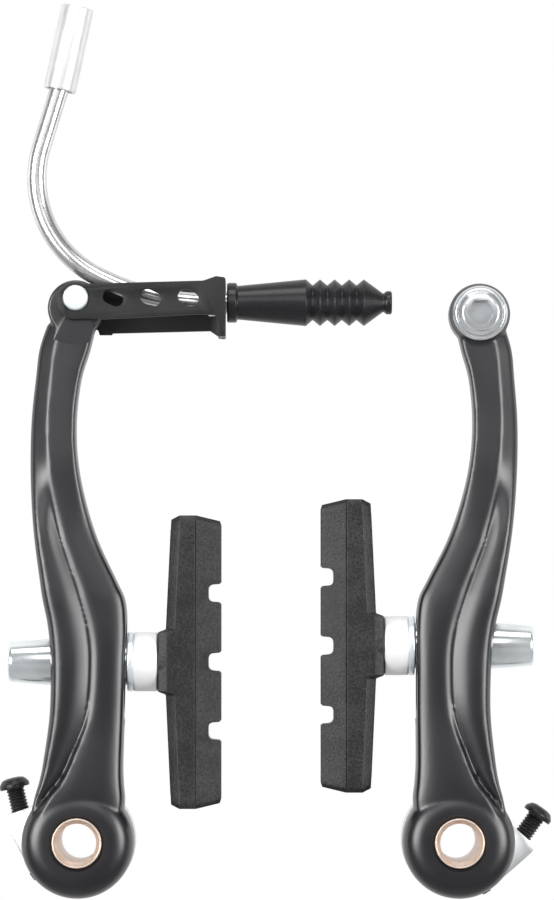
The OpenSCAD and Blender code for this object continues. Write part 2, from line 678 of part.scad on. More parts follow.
module noodle_link() {
    color("#232325") on_link() difference() {
        union() {
            link_plate(link_front_shares, -link_out);
            link_plate(link_rear_shares, link_in);
            translate([wall_x, -link_out, wall_shares[0] * link_len])
                cube([link_len - wall_x, 2 * link_out, (wall_shares[1] - wall_shares[0]) * link_len]);
        }
        link_windows(-link_out);
        translate([wall_x - over, 0, tip_z]) rotate([0, 90, 0])
            cylinder(r = nose_r + run_gap, h = link_t * 2 + 2 * over, $fn = round_fn);
        translate([wall_x - over, -keyhole_w / 2, tip_z]) cube([link_t * 2 + 2 * over, keyhole_w, link_len]);
    }
}

module link_rivet() {
    dome = rivet_head_r * 0.3;
    color("#d2d5d8") on_link() {
        along_y([0, 0], rivet_r, -link_out - slip_gap, link_out + slip_gap);
        for (e = [-1, 1]) mirror([0, e == 1 ? 1 : 0, 0])
            translate([0, -link_out - slip_gap, 0]) rotate([90, 0, 0])
                cylinder(r1 = rivet_head_r, r2 = rivet_head_r * 0.84, h = dome, $fn = round_fn);
    }
}

// The noodle's centre line: a straight nose, a slow bend that passes the arm's head at
// noodle_gap, a tight bend, a straight rise, then a last small bend inside the ferrule
slow_x = wall_x - noodle_d * 0.6;
head_reach = left_head_r + noodle_d / 2 + noodle_gap;
head_drop = tip_z - (left_head_at[1] - rivet_at[1]);
noodle_slow_r = (slow_x * slow_x + head_drop * head_drop - head_reach * head_reach)
    / (head_reach - head_drop) / 2;
slow_c = [slow_x, tip_z + noodle_slow_r];
bend_a = 270 - noodle_slow_turn;
tight_c = slow_c + (noodle_slow_r - noodle_r) * [cos(bend_a), sin(bend_a)];
rise_a = bend_a - noodle_turn;
rise_at = tight_c + noodle_r * [cos(rise_a), sin(rise_a)];
rise_dir = [sin(rise_a), -cos(rise_a)];
ferrule_at = rise_at + noodle_rise * rise_dir;
last_turn = 4.8;
last_r = noodle_d * 9;
last_c = ferrule_at + last_r * [cos(rise_a), sin(rise_a)];
land_at = last_c - last_r * [cos(rise_a + last_turn), sin(rise_a + last_turn)];
land_tilt = 180 - rise_a - last_turn;
land_len = ferrule_len * 0.2;

// Points of the centre line along a bend round c, from one angle to another
function arc_points(c, r, from, to, n) =
    [for (i = [1 : n]) let (a = mix(from, to, i / n)) [c[0] + r * cos(a), 0, c[1] + r * sin(a)]];
noodle_sides = 16;
noodle_path = concat(
    [[wall_x, 0, tip_z], [slow_x, 0, tip_z]],
    arc_points(slow_c, noodle_slow_r, 270, bend_a, 5),
    arc_points(tight_c, noodle_r, bend_a, rise_a, 13),
    [[ferrule_at[0], 0, ferrule_at[1]]],
    arc_points(last_c, last_r, rise_a + 180, rise_a + 180 + last_turn, 1),
    [[land_at[0] + land_len * sin(land_tilt), 0, land_at[1] + land_len * cos(land_tilt)]]);

// A hollow tube swept along the noodle's centre line
module noodle_pipe(r_out, r_in, sides) {
    outer = tube_rings(noodle_path, r_out, sides, [0, 1, 0]);
    inner = tube_rings(noodle_path, r_in, sides, [0, 1, 0]);
    m = len(outer);
    k = m * sides;
    polyhedron(
        points = concat([for (r = outer) each r], [for (r = inner) each r]),
        faces = concat(
            [for (j = [0 : m - 2]) for (i = [0 : sides - 1]) let (n = (i + 1) % sides)
                each [[j * sides + i, (j + 1) * sides + i, (j + 1) * sides + n],
                      [j * sides + i, (j + 1) * sides + n, j * sides + n],
                      [k + j * sides + i, k + (j + 1) * sides + n, k + (j + 1) * sides + i],
                      [k + j * sides + i, k + j * sides + n, k + (j + 1) * sides + n]]],
            [for (i = [0 : sides - 1]) let (n = (i + 1) % sides)
                each [[i, n, k + n], [i, k + n, k + i],
                      [k - sides + i, 2 * k - sides + n, k - sides + n],
                      [k - sides + i, 2 * k - sides + i, 2 * k - sides + n]]]));
}

module noodle_tube() {
    color("#b4b6ba") on_link() noodle_pipe(noodle_d / 2, noodle_bore_d / 2, noodle_sides);
}

module noodle_liner() {
    color("#e6e6e0") on_link() noodle_pipe(noodle_bore_d / 2, liner_bore_d / 2, noodle_sides);
}

recess_depth = last_r * sin(last_turn);

module noodle_ferrule() {
    base = land_at - recess_depth * [sin(land_tilt), cos(land_tilt)];
    recess_r = noodle_d * 0.683;
    bore_r = housing_d / 2 + slip_gap;
    shell_r = ferrule_d / 2;
    color("#c8cacc") on_link() translate([base[0], 0, base[1]]) rotate([0, land_tilt, 0])
        rotate_extrude($fn = round_fn) polygon([
            [recess_r, 0], [shell_r - slip_gap * 2, 0], [shell_r, slip_gap * 2],
            [shell_r, ferrule_len - slip_gap * 2], [shell_r - slip_gap * 2, ferrule_len],
            [bore_r, ferrule_len], [bore_r, recess_depth + land_len],
            [noodle_d / 2, recess_depth + land_len], [noodle_d / 2, recess_depth], [recess_r, recess_depth]]);
}

collar_len = noodle_d * 0.5;
nose_len = link_len - wall_x + noodle_d * 0.9;

module noodle_tip() {
    collar_r = nose_r * 1.23;
    bevel = slip_gap * 3;
    color("#b9bbbf") on_link() translate([wall_x - slip_gap, 0, tip_z]) turned_x([
        [-collar_len, noodle_d / 2], [-collar_len, collar_r - bevel], [-collar_len + bevel, collar_r],
        [0, collar_r],
        [0, nose_r], [nose_len * 0.7, nose_r], [nose_len, nose_r * 0.8], [nose_len, noodle_bore_d / 2],
        [slip_gap, noodle_bore_d / 2], [slip_gap, noodle_d / 2]]);
}

// The boot: a bead, a flared sleeve, folds, and a nozzle that hugs the cable
boot_x = link_len + slip_gap * 3;
bead_share = 0.058;
flare_share = 0.478;
fold_pitch_share = 0.0886;
boot_cable_r = liner_bore_d * 0.45;

module cable_boot() {
    fold_x = boot_len * flare_share;
    pitch = boot_len * fold_pitch_share * 4 / boot_folds;
    grip = nose_len - (boot_x - wall_x);
    fold_end = fold_x + (boot_folds + 0.25) * pitch;
    outer = concat(
        [[0, boot_r * 0.80], [boot_len * 0.01, boot_r * 0.85], [boot_len * bead_share, boot_r * 0.85],
         [boot_len * (bead_share + 0.006), boot_r * 0.72], [fold_x, boot_r]],
        [for (i = [0 : boot_folds - 1]) each [
            [fold_x + (i + 0.40) * pitch, boot_r * 0.76], [fold_x + (i + 0.50) * pitch, boot_r * 0.76],
            [fold_x + (i + 0.92) * pitch, boot_r * 0.985], [fold_x + (i + 1) * pitch, boot_r * 0.985]]],
        [[boot_len * 0.948, boot_r * 0.39], [boot_len * 0.962, boot_r * 0.47],
         [boot_len * 0.970, boot_r * 0.495], [boot_len * 0.992, boot_r * 0.495], [boot_len, boot_r * 0.44]]);
    inner = [
        [boot_len, boot_cable_r], [boot_len * 0.93, boot_cable_r], [fold_end, boot_r * 0.75 - boot_wall],
        [fold_x, boot_r * 0.75 - boot_wall], [fold_x * 0.95, boot_r * 0.95 - boot_wall],
        [grip + slip_gap, nose_r], [0, nose_r]];
    color("#1f1f21") on_link() translate([boot_x, 0, tip_z]) turned_x(concat(outer, inner));
}

washer_t = stud_r * 0.5;
bolt_head_h = key_af * 0.44;

module on_bolt() {
    on_arm(RIGHT) translate([bolt_at[0], head_mid - head_depth / 2 - bolt_boss_h, bolt_at[1]])
        rotate([90, 0, 0]) children();
}

module anchor_washer() {
    r = bolt_boss_r * 0.97;
    color("#c9d2d8") on_bolt() rotate_extrude($fn = round_fn) polygon([[stud_r, 0], [r, 0],
        [r, washer_t * 0.6], [r - washer_t * 0.4, washer_t], [stud_r, washer_t]]);
}

module anchor_bolt() {
    flange = bolt_boss_r * 0.80;
    head = key_af * 0.78;
    length = head_depth + bolt_boss_h + washer_t;
    color("#c3ccd3") on_bolt() difference() {
        union() {
            translate([0, 0, -length + washer_t]) cylinder(r = stud_r, h = length, $fn = round_fn);
            translate([0, 0, washer_t]) rotate_extrude($fn = round_fn) polygon([[0, 0], [flange, 0],
                [flange, bolt_head_h * 0.25], [head, bolt_head_h * 0.5], [head, bolt_head_h * 0.9],
                [head - bolt_head_h * 0.1, bolt_head_h], [0, bolt_head_h]]);
        }
        translate([0, 0, washer_t + bolt_head_h * 0.1])
            cylinder(d = key_af / cos(30), h = bolt_head_h, $fn = 6);
    }
}

left_arm();
pivot_sleeve(LEFT);  // left_pivot_sleeve
spring_holder(LEFT);  // left_spring_holder
stopper_pin(LEFT);  // left_stopper_pin
return_spring(LEFT);  // left_return_spring
tension_screw(LEFT);  // left_tension_screw
convex_washer(LEFT, -1);  // left_inner_convex_washer
convex_washer(LEFT, 1);  // left_outer_convex_washer
concave_washer(LEFT, -1, washer_r);  // left_inner_concave_washer
concave_washer(LEFT, 1, outer_washer_r);  // left_outer_concave_washer
spacer_washer(LEFT);  // left_spacer_washer
cap_nut(LEFT);  // left_cap_nut
pad_rubber(LEFT);  // left_pad_rubber
pad_stud(LEFT);  // left_pad_stud
right_arm();
pivot_sleeve(RIGHT);  // right_pivot_sleeve
spring_holder(RIGHT);  // right_spring_holder
stopper_pin(RIGHT);  // right_stopper_pin
return_spring(RIGHT);  // right_return_spring
tension_screw(RIGHT);  // right_tension_screw
convex_washer(RIGHT, -1);  // right_inner_convex_washer
convex_washer(RIGHT, 1);  // right_outer_convex_washer
concave_washer(RIGHT, -1, washer_r);  // right_inner_concave_washer
concave_washer(RIGHT, 1, outer_washer_r);  // right_outer_concave_washer
spacer_washer(RIGHT);  // right_spacer_washer
cap_nut(RIGHT);  // right_cap_nut
pad_rubber(RIGHT);  // right_pad_rubber
pad_stud(RIGHT);  // right_pad_stud
noodle_link();
link_rivet();
noodle_tube();
noodle_liner();
noodle_ferrule();
noodle_tip();
cable_boot();
anchor_bolt();
anchor_washer();
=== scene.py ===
"""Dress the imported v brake: forged arms, pads on ball washers, noodle, link and boot."""
import logging
import math
from dataclasses import dataclass, field
from enum import Enum
from typing import Callable, Iterable, Sequence

import bpy
from bpy.types import Material, NodeSocket, Object
from mathutils import Matrix, Vector


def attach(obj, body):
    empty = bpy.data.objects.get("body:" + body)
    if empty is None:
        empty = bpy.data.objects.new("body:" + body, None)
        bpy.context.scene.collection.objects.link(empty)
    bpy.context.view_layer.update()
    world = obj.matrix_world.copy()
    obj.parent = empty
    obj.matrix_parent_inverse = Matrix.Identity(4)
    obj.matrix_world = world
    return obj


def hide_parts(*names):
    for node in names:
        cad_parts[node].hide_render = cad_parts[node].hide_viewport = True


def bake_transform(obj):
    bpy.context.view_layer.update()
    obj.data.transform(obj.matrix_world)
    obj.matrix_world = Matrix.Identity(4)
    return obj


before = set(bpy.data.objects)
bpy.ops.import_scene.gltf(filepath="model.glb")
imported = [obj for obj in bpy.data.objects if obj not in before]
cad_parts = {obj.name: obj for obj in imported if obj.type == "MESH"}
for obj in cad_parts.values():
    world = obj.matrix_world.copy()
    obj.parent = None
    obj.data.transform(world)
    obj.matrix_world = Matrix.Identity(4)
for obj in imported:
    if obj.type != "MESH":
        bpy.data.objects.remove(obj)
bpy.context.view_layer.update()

log = logging.getLogger("v_brake")

MM = 0.001
Point2 = tuple[float, float]
Ring = list[Vector]


class Side(Enum):
    """Which arm a piece belongs to; the value is the sign of its X."""

    LEFT = -1
    RIGHT = 1

    @property
    def word(self) -> str:
        """The side's name as the nodes spell it."""
        return self.name.lower()


class Axis(Enum):
    """The axis that a turned piece is centred on."""

    X = "x"
    Y = "y"
    Z = "z"


# Places.


@dataclass(frozen=True)
class Layout:
    """Where the brake's axes lie, in millimetres, as the CAD source has them."""

    boss_spacing: float = 80.0
    arm_len: float = 111.0
    arm_bow: float = 12.5
    left_lean: float = 1.7
    eye_back: float = -9.5
    eye_front: float = -23.5
    arm_mid: float = -15.3
    arm_half_depth: float = 7.5
    stud_y: float = -14.1
    left_stud_z: float = 37.8
    right_stud_z: float = 41.2
    slot_mid: float = 37.0
    slot_travel: float = 6.0
    slot_wall: float = 12.0
    seat_skim: float = 0.12
    head_depth: float = 8.0
    bolt_boss_h: float = 1.3
    holder_turn: float = 22.0
    stud_r: float = 3.0

    @property
    def seat_in(self) -> float:
        """The flat that the inner washer sits on, outward from the pivot."""
        return -0.713 * self.arm_bow + self.seat_skim

    @property
    def ball_u(self) -> float:
        """The washers' ball centre, outward from the pivot."""
        return self.seat_in + self.slot_wall / 2

    @property
    def rivet_uv(self) -> Point2:
        """The link rivet in the arm's frame."""
        return self.arm_bow * 0.312, self.arm_len * 1.0288

    @property
    def bolt_uv(self) -> Point2:
        """The cable bolt in the arm's frame."""
        return self.arm_bow * 0.36, self.arm_len

    def on_arm(self, side: Side) -> Matrix:
        """Place for what is drawn in an arm's frame.

        Args:
            side: the arm.

        Returns:
            The matrix from (u, y, v) in millimetres to the frame in metres.
        """
        place = Matrix.Translation((side.value * self.boss_spacing / 2, 0, 0))
        if side is Side.LEFT:
            place = place @ Matrix.Rotation(math.radians(self.left_lean), 4, "Y") @ Matrix.Diagonal((-1, 1, 1, 1))
        return Matrix.Scale(MM, 4) @ place

    def on_boss(self, side: Side) -> Matrix:
        """Place for what is fixed to a boss.

        Args:
            side: the arm that turns on the boss.

        Returns:
            The matrix from (u, y, v) in millimetres to the frame in metres.
        """
        place = Matrix.Translation((side.value * self.boss_spacing / 2, 0, 0))
        if side is Side.LEFT:
            place = place @ Matrix.Diagonal((-1, 1, 1, 1))
        else:
            place = place @ Matrix.Rotation(math.radians(self.holder_turn), 4, "Y")
        return Matrix.Scale(MM, 4) @ place

    def on_stud(self, side: Side) -> Matrix:
        """Place for what is turned about a pad's stud, with x outward from the ball centre.

        Args:
            side: the pad's arm.

        Returns:
            The matrix from millimetres to the frame in metres.
        """
        lean = math.radians(self.left_lean) if side is Side.LEFT else 0.0
        z = self.left_stud_z if side is Side.LEFT else self.right_stud_z
        x = side.value * (self.boss_spacing / 2 + self.ball_u / math.cos(lean)) + z * math.tan(lean)
        place = Matrix.Translation((x, self.stud_y, z))
        if side is Side.LEFT:
            place = place @ Matrix.Diagonal((-1, 1, 1, 1))
        return Matrix.Scale(MM, 4) @ place

    def on_link(self) -> Matrix:
        """Place for the link and the noodle, drawn from the rivet."""
        u, v = self.rivet_uv
        at = self.on_arm(Side.LEFT) @ Vector((u, self.arm_mid, v))
        return Matrix.Translation(at) @ Matrix.Scale(MM, 4)


LAYOUT = Layout()


# Curves in the plane.


def smooth(t: float) -> float:
    """Ease from 0 to 1."""
    c = min(1.0, max(0.0, t))
    return c * c * (3 - 2 * c)


def mix(a: float, b: float, t: float) -> float:
    """The value at share t between a and b."""
    return a + (b - a) * t


def spline(rows: Sequence[Sequence[float]], steps: int) -> list[tuple[float, ...]]:
    """Run a smooth curve through rows of numbers.

    Args:
        rows: the points to pass through.
        steps: how many points are made for each span.

    Returns:
        The points of the curve, the last row included.
    """
    out: list[tuple[float, ...]] = []
    last = len(rows) - 1
    for i in range(last):
        a, b, c, d = (rows[min(last, max(0, i + k))] for k in (-1, 0, 1, 2))
        for s in range(steps):
            t = s / steps
            out.append(tuple(
                0.5 * (2 * q + (r - p) * t + (2 * p - 5 * q + 4 * r - w) * t * t
                       + (3 * q - p - 3 * r + w) * t ** 3)
                for p, q, r, w in zip(a, b, c, d)))
    out.append(tuple(rows[last]))
    return out


def rounded(points: Sequence[Sequence[float]], steps: int = 4) -> list[Point2]:
    """Round the corners of a closed outline.

    Args:
        points: (x, y) or (x, y, radius) for each corner.
        steps: the chords in each rounded corner.

    Returns:
        The outline's points.
    """
    out: list[Point2] = []
    n = len(points)
    for i, p in enumerate(points):
        r = p[2] if len(p) > 2 else 0.0
        here = Vector(p[:2])
        if r <= 0:
            out.append((here.x, here.y))
            continue
        back = Vector(points[i - 1][:2]) - here
        on = Vector(points[(i + 1) % n][:2]) - here
        half = back.angle(on) / 2
        cut = min(r / math.tan(half), 0.49 * back.length, 0.49 * on.length)
        a, b = here + back.normalized() * cut, here + on.normalized() * cut
        for k in range(steps + 1):
            t = k / steps
            q = a * (1 - t) ** 2 + here * (2 * t * (1 - t)) + b * t * t
            out.append((q.x, q.y))
    return out


# The bench.


class Bench:
    """The tools that shape meshes; every result sits at the origin, in metres."""

    @staticmethod
    def clear() -> None:
        """Leave edit mode and deselect every object."""
        if bpy.context.object and bpy.context.object.mode != "OBJECT":
            bpy.ops.object.mode_set(mode="OBJECT")
        bpy.ops.object.select_all(action="DESELECT")

    @staticmethod
    def take(obj: Object) -> None:
        """Make one object the selected and active one."""
        Bench.clear()
        obj.select_set(True)
        bpy.context.view_layer.objects.active = obj

    @staticmethod
    def edit(obj: Object, *steps: Callable[[], object]) -> None:
        """Run operators in edit mode with everything selected.

        Args:
            obj: the object to edit.
            steps: the operators, called in order.
        """
        Bench.take(obj)
        bpy.ops.object.mode_set(mode="EDIT")
        bpy.ops.mesh.select_all(action="SELECT")
        for step in steps:
            step()
        bpy.ops.object.mode_set(mode="OBJECT")

    @staticmethod
    def closed(obj: Object, gap: float = 0.002 * MM) -> Object:
        """Merge doubles and turn the faces outwards."""
        Bench.edit(
            obj,
            lambda: bpy.ops.mesh.remove_doubles(threshold=gap),
            lambda: bpy.ops.mesh.dissolve_degenerate(threshold=gap / 4),
            lambda: bpy.ops.mesh.select_all(action="SELECT"),
            lambda: bpy.ops.mesh.delete_loose(use_verts=True, use_edges=True, use_faces=False),
            lambda: bpy.ops.mesh.select_all(action="SELECT"),
            lambda: bpy.ops.mesh.normals_make_consistent(inside=False),
        )
        return obj

    @staticmethod
    def named(obj: Object, name: str) -> Object:
        """Name an object and its mesh."""
        obj.name = name
        obj.data.name = name
        return obj

    @staticmethod
    def placed(obj: Object, place: Matrix) -> Object:
        """Put a place into the mesh itself.

        Args:
            obj: the object, at the origin.
            place: the matrix to bake in.

        Returns:
            The same object.
        """
        obj.data.transform(place)
        if place.determinant() < 0:
            obj.data.flip_normals()
        obj.matrix_world = Matrix.Identity(4)
        return obj

    @staticmethod
    def turned(name: str, profile: Sequence[Point2], place: Matrix, axis: Axis = Axis.X, steps: int = 96) -> Object:
        """Spin a closed profile about an axis.

        Args:
            name: the piece's name.
            profile: (place along the axis, radius) in millimetres.
            place: the matrix that puts it in the frame.
            axis: the axis that it is turned about.
            steps: the chords in the full circle.

        Returns:
            The turned piece.
        """
        Bench.clear()
        bpy.ops.mesh.primitive_circle_add(vertices=len(profile), radius=1, fill_type="NOTHING")
        obj = Bench.named(bpy.context.object, name)
        for vertex, (along, r) in zip(obj.data.vertices, profile):
            vertex.co = {Axis.X: (along, r, 0), Axis.Y: (r, along, 0), Axis.Z: (r, 0, along)}[axis]
        about = {Axis.X: (1, 0, 0), Axis.Y: (0, 1, 0), Axis.Z: (0, 0, 1)}[axis]
        Bench.edit(obj, lambda: bpy.ops.mesh.spin(steps=steps, angle=2 * math.pi, center=(0, 0, 0), axis=about))
        Bench.closed(obj, 0.002)
        return Bench.placed(obj, place)

    @staticmethod
    def lofted(name: str, rings: Sequence[Ring], place: Matrix, looped: bool = False) -> Object:
        """Shape a grid over rings of equal length and close its seam and ends.

        Args:
            name: the piece's name.
            rings: the sections in order, in millimetres.
            place: the matrix that puts it in the frame.
            looped: whether the last ring joins the first, as on a hollow tube.

        Returns:
            The lofted piece.
        """
        Bench.clear()
        sections = list(rings)
        if looped:
            sections.append(sections[0])
        else:
            centres = [sum(ring, Vector()) / len(ring) for ring in (sections[0], sections[-1])]
            sections = [[centres[0]] * len(rings[0]), *sections, [centres[1]] * len(rings[0])]
        n, m = len(sections[0]), len(sections) - 1
        bpy.ops.mesh.primitive_grid_add(x_subdivisions=n, y_subdivisions=m, size=1)
        obj = Bench.named(bpy.context.object, name)
        flat = [c for ring in sections for p in [*ring, ring[0]] for c in p]
        if len(flat) != 3 * len(obj.data.vertices):
            raise ValueError(f"{name}: the grid has {len(obj.data.vertices)} points, not {len(flat) // 3}")
        obj.data.vertices.foreach_set("co", flat)
        obj.data.update()
        Bench.closed(obj, 0.0005)
        return Bench.placed(obj, place)

    @staticmethod
    def cut(obj: Object, tools: Iterable[Object], operation: str = "DIFFERENCE") -> Object:
        """Cut tools out of an object, or weld them on, and remove them.

        Args:
            obj: the object that is cut.
            tools: the cutters.
            operation: DIFFERENCE or UNION.

        Returns:
            The same object.
        """
        for tool in tools:
            Bench.take(obj)
            change = obj.modifiers.new("cut", "BOOLEAN")
            change.operation, change.solver, change.object = operation, "EXACT", tool
            bpy.ops.object.modifier_apply(modifier=change.name)
            bpy.data.objects.remove(tool)
        return obj

    @staticmethod
    def joined(name: str, parts: Sequence[Object]) -> Object:
        """Join parts into one object."""
        Bench.clear()
        for part in parts:
            part.select_set(True)
        bpy.context.view_layer.objects.active = parts[0]
        bpy.ops.object.join()
        return Bench.named(parts[0], name)

    @staticmethod
    def forged(obj: Object, grain: float, passes: int) -> Object:
        """Run overlapping solids into one skin with soft inner corners.

        Args:
            obj: the joined solids.
            grain: the size of the skin's cells, in metres.
            passes: how often the skin is relaxed.

        Returns:
            The same object.
        """
        Bench.take(obj)
        skin = obj.modifiers.new("skin", "REMESH")
        skin.mode, skin.voxel_size, skin.adaptivity = "VOXEL", grain, 0.0
        bpy.ops.object.modifier_apply(modifier=skin.name)
        relax = obj.modifiers.new("relax", "SMOOTH")
        relax.factor, relax.iterations = 0.5, passes
        bpy.ops.object.modifier_apply(modifier=relax.name)
        return obj

    @staticmethod
    def softened(node: str, name: str, width: float, segments: int = 2, angle: float = 32.0) -> Object:
        """Copy a CAD node and round its edges; the copy stands for the node.

        Args:
            node: the CAD node.
            name: the new piece's name.
            width: the rounding's width in millimetres.
            segments: the chords of the rounding.
            angle: the least angle of an edge that is rounded, in degrees.

        Returns:
            The rounded copy.
        """
        Bench.clear()
        obj = bpy.data.objects.new(name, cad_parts[node].data.copy())
        bpy.context.scene.collection.objects.link(obj)
        obj.data.name = name
        obj.data.materials.clear()
        Bench.edit(
            obj,
            lambda: bpy.ops.mesh.remove_doubles(threshold=0.001 * MM),
            lambda: bpy.ops.mesh.dissolve_limited(angle_limit=math.radians(0.4)),
        )
        Bench.take(obj)
        edge = obj.modifiers.new("edge", "BEVEL")
        edge.width, edge.segments, edge.limit_method = width * MM, segments, "ANGLE"
        edge.angle_limit, edge.use_clamp_overlap, edge.miter_outer = math.radians(angle), True, "MITER_ARC"
        bpy.ops.object.modifier_apply(modifier=edge.name)
        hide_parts(node)
        return obj

    @staticmethod
    def finished(obj: Object, angle: float = 32.0) -> Object:
        """Shade smooth up to an angle."""
        Bench.take(obj)
        bpy.ops.object.shade_smooth_by_angle(angle=math.radians(angle))
        return obj


def rod(name: str, r: float, ends: Point2, at: Sequence[float], place: Matrix, axis: Axis, steps: int = 64,
        edge: float = 0.0) -> Object:
    """Turn a plain round bar, as a cutter or as stock for a bigger piece.

    Args:
        name: the bar's name.
        r: its radius in millimetres.
        ends: where it starts and ends along its axis.
        at: the point that its axis passes through.
        place: the matrix that puts it in the frame.
        axis: its axis.
        steps: the chords in the full circle; 6 makes a hexagon.
        edge: the rounding of its rims.

    Returns:
        The bar.
    """
    profile = rounded([(ends[0], 0), (ends[0], r, edge), (ends[1], r, edge), (ends[1], 0)], 3)
    return Bench.turned(name, profile, place @ Matrix.Translation(at), axis, steps)


def swept_rings(path: Sequence[Vector], r: float | Sequence[float], sides: int, up: Vector) -> list[Ring]:
    """Rings square to a path.

    Args:
        path: the centre line.
        r: the radius, or one for each point.
        sides: the points in each ring.
        up: a direction that the path never follows.

    Returns:
        One ring for each point of the path.
    """
    rings: list[Ring] = []
    for i, p in enumerate(path):
        t = (path[min(i + 1, len(path) - 1)] - path[max(i - 1, 0)]).normalized()
        a = t.cross(up).normalized()
        b = t.cross(a)
        radius = r if isinstance(r, (int, float)) else r[i]
        rings.append([p + radius * (math.cos(2 * math.pi * k / sides) * a + math.sin(2 * math.pi * k / sides) * b)
                      for k in range(sides)])
    return rings


# Finishes.


class Signal:
    """One output of a material's nodes, with the arithmetic that the finishes use."""

    def __init__(self, graph: "Graph", socket: NodeSocket) -> None:
        """Wrap a socket of a graph."""
        self.graph = graph
        self.socket = socket

    def _math(self, operation: str, *values: "Signal | float") -> "Signal":
        """Add a Math node on values in order."""
        return self.graph.node("ShaderNodeMath", {"operation": operation}, dict(enumerate(values)))

    def __add__(self, other: "Signal | float") -> "Signal":
        """self + other."""
        return self._math("ADD", self, other)

    __radd__ = __add__

    def __sub__(self, other: "Signal | float") -> "Signal":
        """self - other."""
        return self._math("SUBTRACT", self, other)

    def __rsub__(self, other: float) -> "Signal":
        """other - self."""
        return self._math("SUBTRACT", other, self)

    def __mul__(self, other: "Signal | float") -> "Signal":
        """self * other."""
        return self._math("MULTIPLY", self, other)

    __rmul__ = __mul__

    def __truediv__(self, other: "Signal | float") -> "Signal":
        """self / other."""
        return self._math("DIVIDE", self, other)

    def __pow__(self, other: float) -> "Signal":
        """self ** other."""
        return self._math("POWER", self, other)

    def wave(self, length: float) -> "Signal":
        """A sine of this value, 0 to 1, that repeats at a length."""
        return self._math("SINE", self * (2 * math.pi / length)) * 0.5 + 0.5

    def ramp(self, low: float, high: float, start: float = 0.0, end: float = 1.0) -> "Signal":
        """Ease from start to end as this value goes from low to high."""
        return self.graph.node(
            "ShaderNodeMapRange", {"interpolation_type": "SMOOTHSTEP", "clamp": True},
            {"Value": self, "From Min": low, "From Max": high, "To Min": start, "To Max": end})


class Graph:
    """The nodes of one material."""

    def __init__(self, name: str) -> None:
        """Start a material with its Principled shader."""
        self.material: Material = bpy.data.materials.new(name)
        self.material.use_nodes = True
        self.tree = self.material.node_tree
        self.shader = self.tree.nodes["Principled BSDF"]

    def node(self, kind: str, settings: dict[str, object], inputs: dict[object, object], out: int | str = 0) -> Signal:
        """Add a node.

        Args:
            kind: the node's type.
            settings: what is set on the node itself first; "stops" fills a ramp.
            inputs: a value or Signal for each socket, by name or number.
            out: the output that is returned.

        Returns:
            The node's output.
        """
        made = self.tree.nodes.new(kind)
        for key, value in settings.items():
            if key == "stops":
                ramp = made.color_ramp
                while len(ramp.elements) < len(value):
                    ramp.elements.new(0.5)
                for element, (place, colour) in zip(ramp.elements, value):
                    element.position, element.color = place, (*colour, 1.0)
            else:
                setattr(made, key, value)
        for key, value in inputs.items():
            if isinstance(value, Signal):
                self.tree.links.new(value.socket, made.inputs[key])
            elif isinstance(value, (tuple, list)) and made.inputs[key].type == "RGBA":
                made.inputs[key].default_value = (*value, 1.0)
            else:
                made.inputs[key].default_value = value
        return Signal(self, made.outputs[out])

    def place(self, at: Sequence[float] = (0, 0, 0), turn: Sequence[float] = (0, 0, 0)) -> Signal:
        """Object coordinates in millimetres, centred at a point given in millimetres."""
        raw = self.node("ShaderNodeTexCoord", {}, {}, "Object")
        return self.node(
            "ShaderNodeMapping", {"vector_type": "TEXTURE"},
            {"Vector": raw, "Location": [c * MM for c in at], "Rotation": turn, "Scale": (MM, MM, MM)})

    def axis(self, vector: Signal, which: Axis) -> Signal:
        """One coordinate of a vector."""
        return self.node("ShaderNodeSeparateXYZ", {}, {"Vector": vector}, "XYZ"["xyz".index(which.value)])

    def noise(self, vector: Signal, size: float, detail: float = 2.0, roughness: float = 0.5,
              stretch: Sequence[float] | None = None) -> Signal:
        """Noise whose blotches are about size millimetres."""
        if stretch:
            vector = self.node("ShaderNodeMapping", {}, {"Vector": vector, "Scale": stretch})
        return self.node("ShaderNodeTexNoise", {}, {"Vector": vector, "Scale": 1 / size, "Detail": detail,
                                                    "Roughness": roughness})

    def around(self, vector: Signal, axis: Axis) -> Signal:
        """The distance from an axis through the vector's origin."""
        keep = {Axis.X: (0, 1, 1), Axis.Y: (1, 0, 1), Axis.Z: (1, 1, 0)}[axis]
        flat = self.node("ShaderNodeVectorMath", {"operation": "MULTIPLY"}, {0: vector, 1: keep})
        return self.node("ShaderNodeVectorMath", {"operation": "LENGTH"}, {0: flat}, "Value")

    def blend(self, share: Signal | float, a: Sequence[float] | Signal, b: Sequence[float] | Signal) -> Signal:
        """A colour between a and b."""
        return self.node("ShaderNodeMix", {"data_type": "RGBA"}, {0: share, 6: a, 7: b}, 2)

    def bump(self, height: Signal, depth: float, strength: float = 1.0) -> None:
        """Feed the shader's normal from a height whose full depth is given in millimetres."""
        self.use({"Normal": self.node("ShaderNodeBump", {}, {"Height": height, "Distance": depth * MM,
                                                             "Strength": strength})})

    def use(self, inputs: dict[str, object]) -> None:
        """Set or link the shader's own sockets."""
        for key, value in inputs.items():
            if isinstance(value, Signal):
                self.tree.links.new(value.socket, self.shader.inputs[key])
            elif isinstance(value, (tuple, list)):
                self.shader.inputs[key].default_value = (*value, 1.0)
            else:
                self.shader.inputs[key].default_value = value


Colour = tuple[float, float, float]


